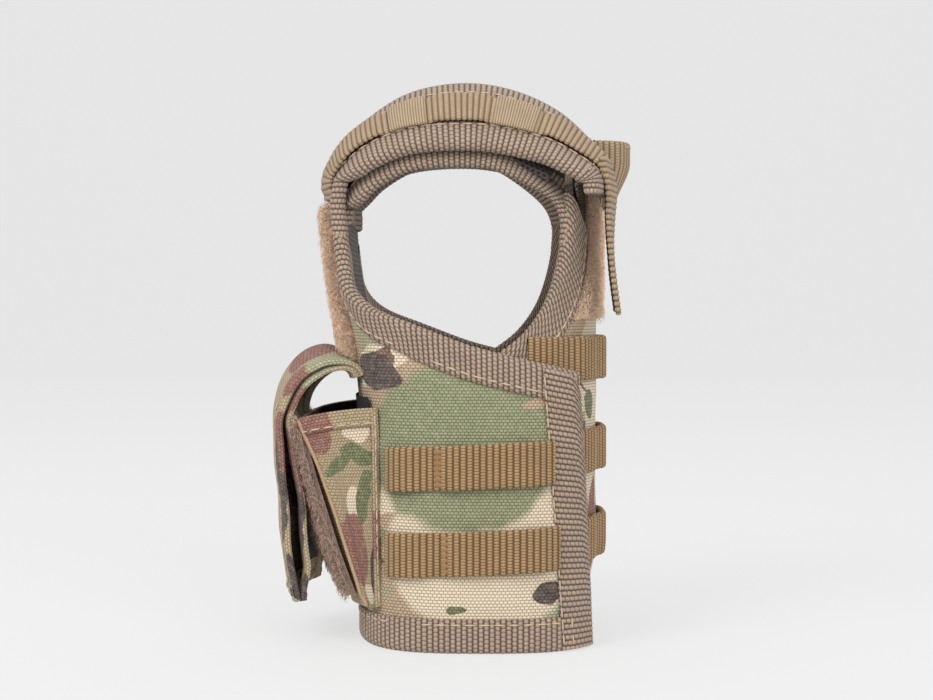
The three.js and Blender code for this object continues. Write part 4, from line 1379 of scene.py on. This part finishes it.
def make_handle():
    """Webbing bent into a loop that stands off the back of the neck, flatter at its foot than at its top."""
    def mapping(t, across, above):
        t, across, above = np.broadcast_arrays(t, across, above)
        place, ahead = along_path(HANDLE_PLAN, t)
        root = HANDLE_PLAN[0][1]
        depth = mix(0.6, 1.08, smooth(across, -10, 4))
        x = place[..., 0] - ahead[..., 1] * above
        y = root + (place[..., 1] - root) * depth + ahead[..., 0] * above
        return np.stack([x, y, (HANDLE_LOW + HANDLE_HIGH) / 2 + across], -1)
    bend = ("vest", "handle", (0, 34.4, 141), (0, 38.4, 141))
    tape("drag_handle_webbing", mapping, flat_profile(HANDLE_HIGH - HANDLE_LOW, 1.7, 14) + (0, 0.95),
         "strap", 0.22, bend, ["drag_handle"])
    curves = [seam_thread(mapping, (0.3, 0.7), across, 1.95) for across in (-8.6, 8.6)]
    thread_object("handle_thread", curves, CLOTHS["thread"], "handle")


# ---------- colours ----------
def make_cloths():
    """Every material of the vest, by the name the pieces ask for."""
    body_camo = [
        (CREAM, [(55, 30, 27, 24, 0), (99, 62, 8, 24, 0), (-55, 40, 24, 12, 0), (100, 100, 9, 10, 0)]),
        (GREEN, [(50, 60, 26, 25, 4), (-50, 62, 18, 10, -20), (-64, 36, 12, 9, 25), (128, 60, 6, 9, 0),
                 (2, 100, 12, 7, 20), (118, 30, 9, 6, 20)]),
        (TAN, [(15, 90, 9, 6, 30), (92, 130, 8, 14, 0), (70, 73, 4, 1.2, 8), (112, 92, 10, 5, -15),
               (84, 22, 9, 5, 8), (-30, 20, 12, 7, 0)]),
        (UMBER, [(26, 81.8, 8.5, 5.2, -10), (72.6, 18, 4, 3.6, 20), (-38, 24, 7, 4, 10),
                 (120, 78, 7, 4, 20)]),
        (LEAF, [(47, 12.5, 2.6, 1.5, 0), (94, 72, 3, 5.5, 12), (-70, 66, 5, 3, 0)]),
        (BURGUNDY, [(98, 34, 3, 15, -5), (130, 36, 4, 10, 30), (-20, 70, 6, 3, 30)])]

    def both_walls(*shapes):
        """The shapes and their mirror images on the pouch's other side."""
        return [*shapes, *((POUCH_CUT_WIDTH - a, b, c, d, -e) for a, b, c, d, e in shapes)]
    pouch_camo = [
        (CREAM, both_walls((7, 63, 5, 3, -10), (13, 42, 3, 7, 20), (9, 16, 6, 3, 0))),
        (PALE_GREEN, [(50, 40, 16, 9, 10)]),
        (LEAF, both_walls((16, 54, 7, 2, -24), (6, 57, 8, 2.1, 8), (6.5, 45, 3.2, 9, 16))),
        (BURGUNDY, both_walls((22, 67, 6.5, 9, -30), (16, 29, 8, 12, 12), (40, 20, 7, 4, 0))),
        (UMBER, both_walls((4, 23, 3.2, 7.5, 5)))]
    flap_camo = [
        (PALE_GREEN, [(0, 30, 16, 7, 20), (16, 92, 9, 6, 40), (-16, 75, 8, 6, 0)]),
        (BURGUNDY, [(8, 14, 12, 7, 20), (-10, 62, 8, 7, -10)]),
        (UMBER, [(21, 56, 3.5, 9, 0), (-19, 44, 4, 9, 10), (5, 78, 8, 3, 30)])]
    edge_camo = [
        (UMBER, [(56, 3, 15, 3.4, 0), (84, 6, 8, 2.6, 10)]),
        (BURGUNDY, [(42, 6, 10, 2.5, 0), (22, 4, 7, 3, 0)]),
        (PALE_GREEN, [(10, 3, 9, 4, 0), (95, 4, 5, 4, 0)])]
    hem_camo = [(BURGUNDY, [(79, 3, 7, 9, 0), (21, 3, 7, 9, 0)])]
    return {
        "camo": camo_material("vest_camo", body_camo),
        "pouch": camo_material("pouch_camo", pouch_camo, DARK_KHAKI, False),
        "pouch_hem": camo_material("pouch_hem_camo", hem_camo, DARK_KHAKI, False),
        "piping": plain_material("orange_piping", (0.45, 0.30, 0.18), 2.0, 0.1, 0.8),
        "flap": camo_material("flap_camo", flap_camo, KHAKI, False),
        "flap_edge": camo_material("flap_edge_camo", edge_camo, KHAKI, False),
        # The second colour of each tape is the painted shade in its grooves.
        "binding": tape_material("binding_tape", (0.365, 0.268, 0.195), (0.095, 0.066, 0.05),
                                 PITCHES["binding"], BEAD_PITCH, 0.45, 0.75),
        "row": tape_material("row_webbing", (0.34, 0.215, 0.10), (0.10, 0.055, 0.022),
                             PITCHES["row"], WEBBING_BEAD_PITCH, 0.35, 0.8),
        "strap": tape_material("strap_webbing", (0.345, 0.245, 0.15), (0.13, 0.085, 0.045),
                               PITCHES["strap"], WEBBING_BEAD_PITCH, 0.3, 0.6),
        "keeper": tape_material("keeper_webbing", (0.37, 0.275, 0.175), (0.17, 0.115, 0.07),
                                PITCHES["keeper"], PITCHES["keeper"], 0.15, 0.7),
        "fuzz": fuzz_material("tan_pile", (0.85, 0.60, 0.42)),
        "brown_fuzz": fuzz_material("brown_pile", (0.36, 0.24, 0.18)),
        "fibre": plain_material("tan_fibre", (0.93, 0.70, 0.52), 0.5, 0.05, 0.9, 0.3),
        "brown_fibre": plain_material("brown_fibre", (0.50, 0.35, 0.265), 0.5, 0.05, 0.9, 0.3),
        "mesh": mesh_lining_material(),
        "hook": hook_material(),
        "lining": plain_material("black_lining", (0.035, 0.031, 0.030), 1.5, 0.1, 0.85),
        "dark_cloth": plain_material("strap_underside", (0.08, 0.062, 0.052), 1.5, 0.15, 0.9),
        "thread": plain_material("tan_thread", (0.58, 0.44, 0.30), 3.0, 0.05, 0.6),
        "tack": plain_material("tack_thread", (0.33, 0.19, 0.085), 3.0, 0.05, 0.6)}


# ---------- studio ----------
def aim(obj, target):
    """Turns a camera or light to look at a point."""
    direction = np.array(target) - np.array(obj.location)
    across = math.hypot(direction[0], direction[1])
    obj.rotation_euler = (math.atan2(across, -direction[2]), 0, math.atan2(-direction[0], direction[1]))


STUDIO_RADIUS = 0.5         # metres, of the curve from floor to backdrop
STUDIO_DEPTH = 1.6          # from the vest back to that curve
STUDIO_HALF = 9.0           # half the floor's width, and how far it runs to the front
STUDIO_HEIGHT = 3.0
FLOOR_SHADE, FLOOR_GLOW = 0.16, 0.64        # its grey and the light it gives off by itself
AIR_LIGHT = 0.65            # light that comes from everywhere
LAMPS = (("key", (0.75, -0.75, 0.8), 0.8, 10.5), ("fill", (0.95, 0.6, 0.5), 0.8, 7),
         ("top", (0.0, 0.1, 1.5), 1.2, 4.5))        # name, place, size in metres and power in watts


def make_studio():
    """A pale floor that curves up into a backdrop behind the vest, and soft lights all round it."""
    floor = Cloth("studio_floor", 0.95)
    floor.shader.inputs["Base Color"].default_value = (FLOOR_SHADE, FLOOR_SHADE, FLOOR_SHADE, 1)
    floor.shader.inputs["Emission Color"].default_value = (1, 1, 1, 1)
    floor.shader.inputs["Emission Strength"].default_value = FLOOR_GLOW
    turn = np.linspace(0, np.pi / 2, 24)
    curve = np.stack([-STUDIO_DEPTH - STUDIO_RADIUS * np.sin(turn), STUDIO_RADIUS * (1 - np.cos(turn))], -1)
    wall = (-STUDIO_DEPTH - STUDIO_RADIUS, STUDIO_HEIGHT)
    profile = np.concatenate([[(STUDIO_HALF, 0)], curve, [wall]])
    points = np.zeros((len(profile), 2, 3))
    points[..., 0] = profile[:, :1]
    points[..., 1] = (-STUDIO_HALF, STUDIO_HALF)
    points[..., 2] = profile[:, 1:]
    cyclorama = grid_mesh("studio_backdrop", points / MM - (0, BODY_Y, 0), np.zeros((len(profile), 2, 2)),
                          floor.material)
    cyclorama.data.flip_normals()
    world = bpy.data.worlds.new("studio_air")
    world.use_nodes = True
    air = world.node_tree.nodes["Background"]
    air.inputs["Color"].default_value = (1, 1, 1, 1)
    air.inputs["Strength"].default_value = AIR_LIGHT
    bpy.context.scene.world = world
    bpy.context.scene.view_settings.view_transform = "Standard"
    for name, place, size, power in LAMPS:
        lamp = bpy.data.lights.new(name, "AREA")
        lamp.shape = "DISK"
        lamp.size = size
        lamp.energy = power
        holder = bpy.data.objects.new(name, lamp)
        holder.location = place
        aim(holder, (0, 0, 0.08))
        bpy.context.scene.collection.objects.link(holder)


CAMERA_PLACE = (502, -4.35, 100)
CAMERA_TARGET = (0, -4.35, 87.2)
CAMERA_LENS = 62.4          # focal length


def make_camera():
    """Level with the chest, looking at the wearer's left side."""
    lens = bpy.data.cameras.new("camera")
    lens.lens = CAMERA_LENS
    camera = bpy.data.objects.new("camera", lens)
    camera.location = to_frame(CAMERA_PLACE)
    aim(camera, to_frame(CAMERA_TARGET))
    bpy.context.scene.collection.objects.link(camera)
    bpy.context.scene.camera = camera


CLOTHS = make_cloths()
make_front()
make_back()
make_loop_patches()
for side_sign in (LEFT, RIGHT):
    make_wing(side_sign)
    make_strap(side_sign)
make_pouch()
make_flap()
make_handle()
make_studio()
make_camera()
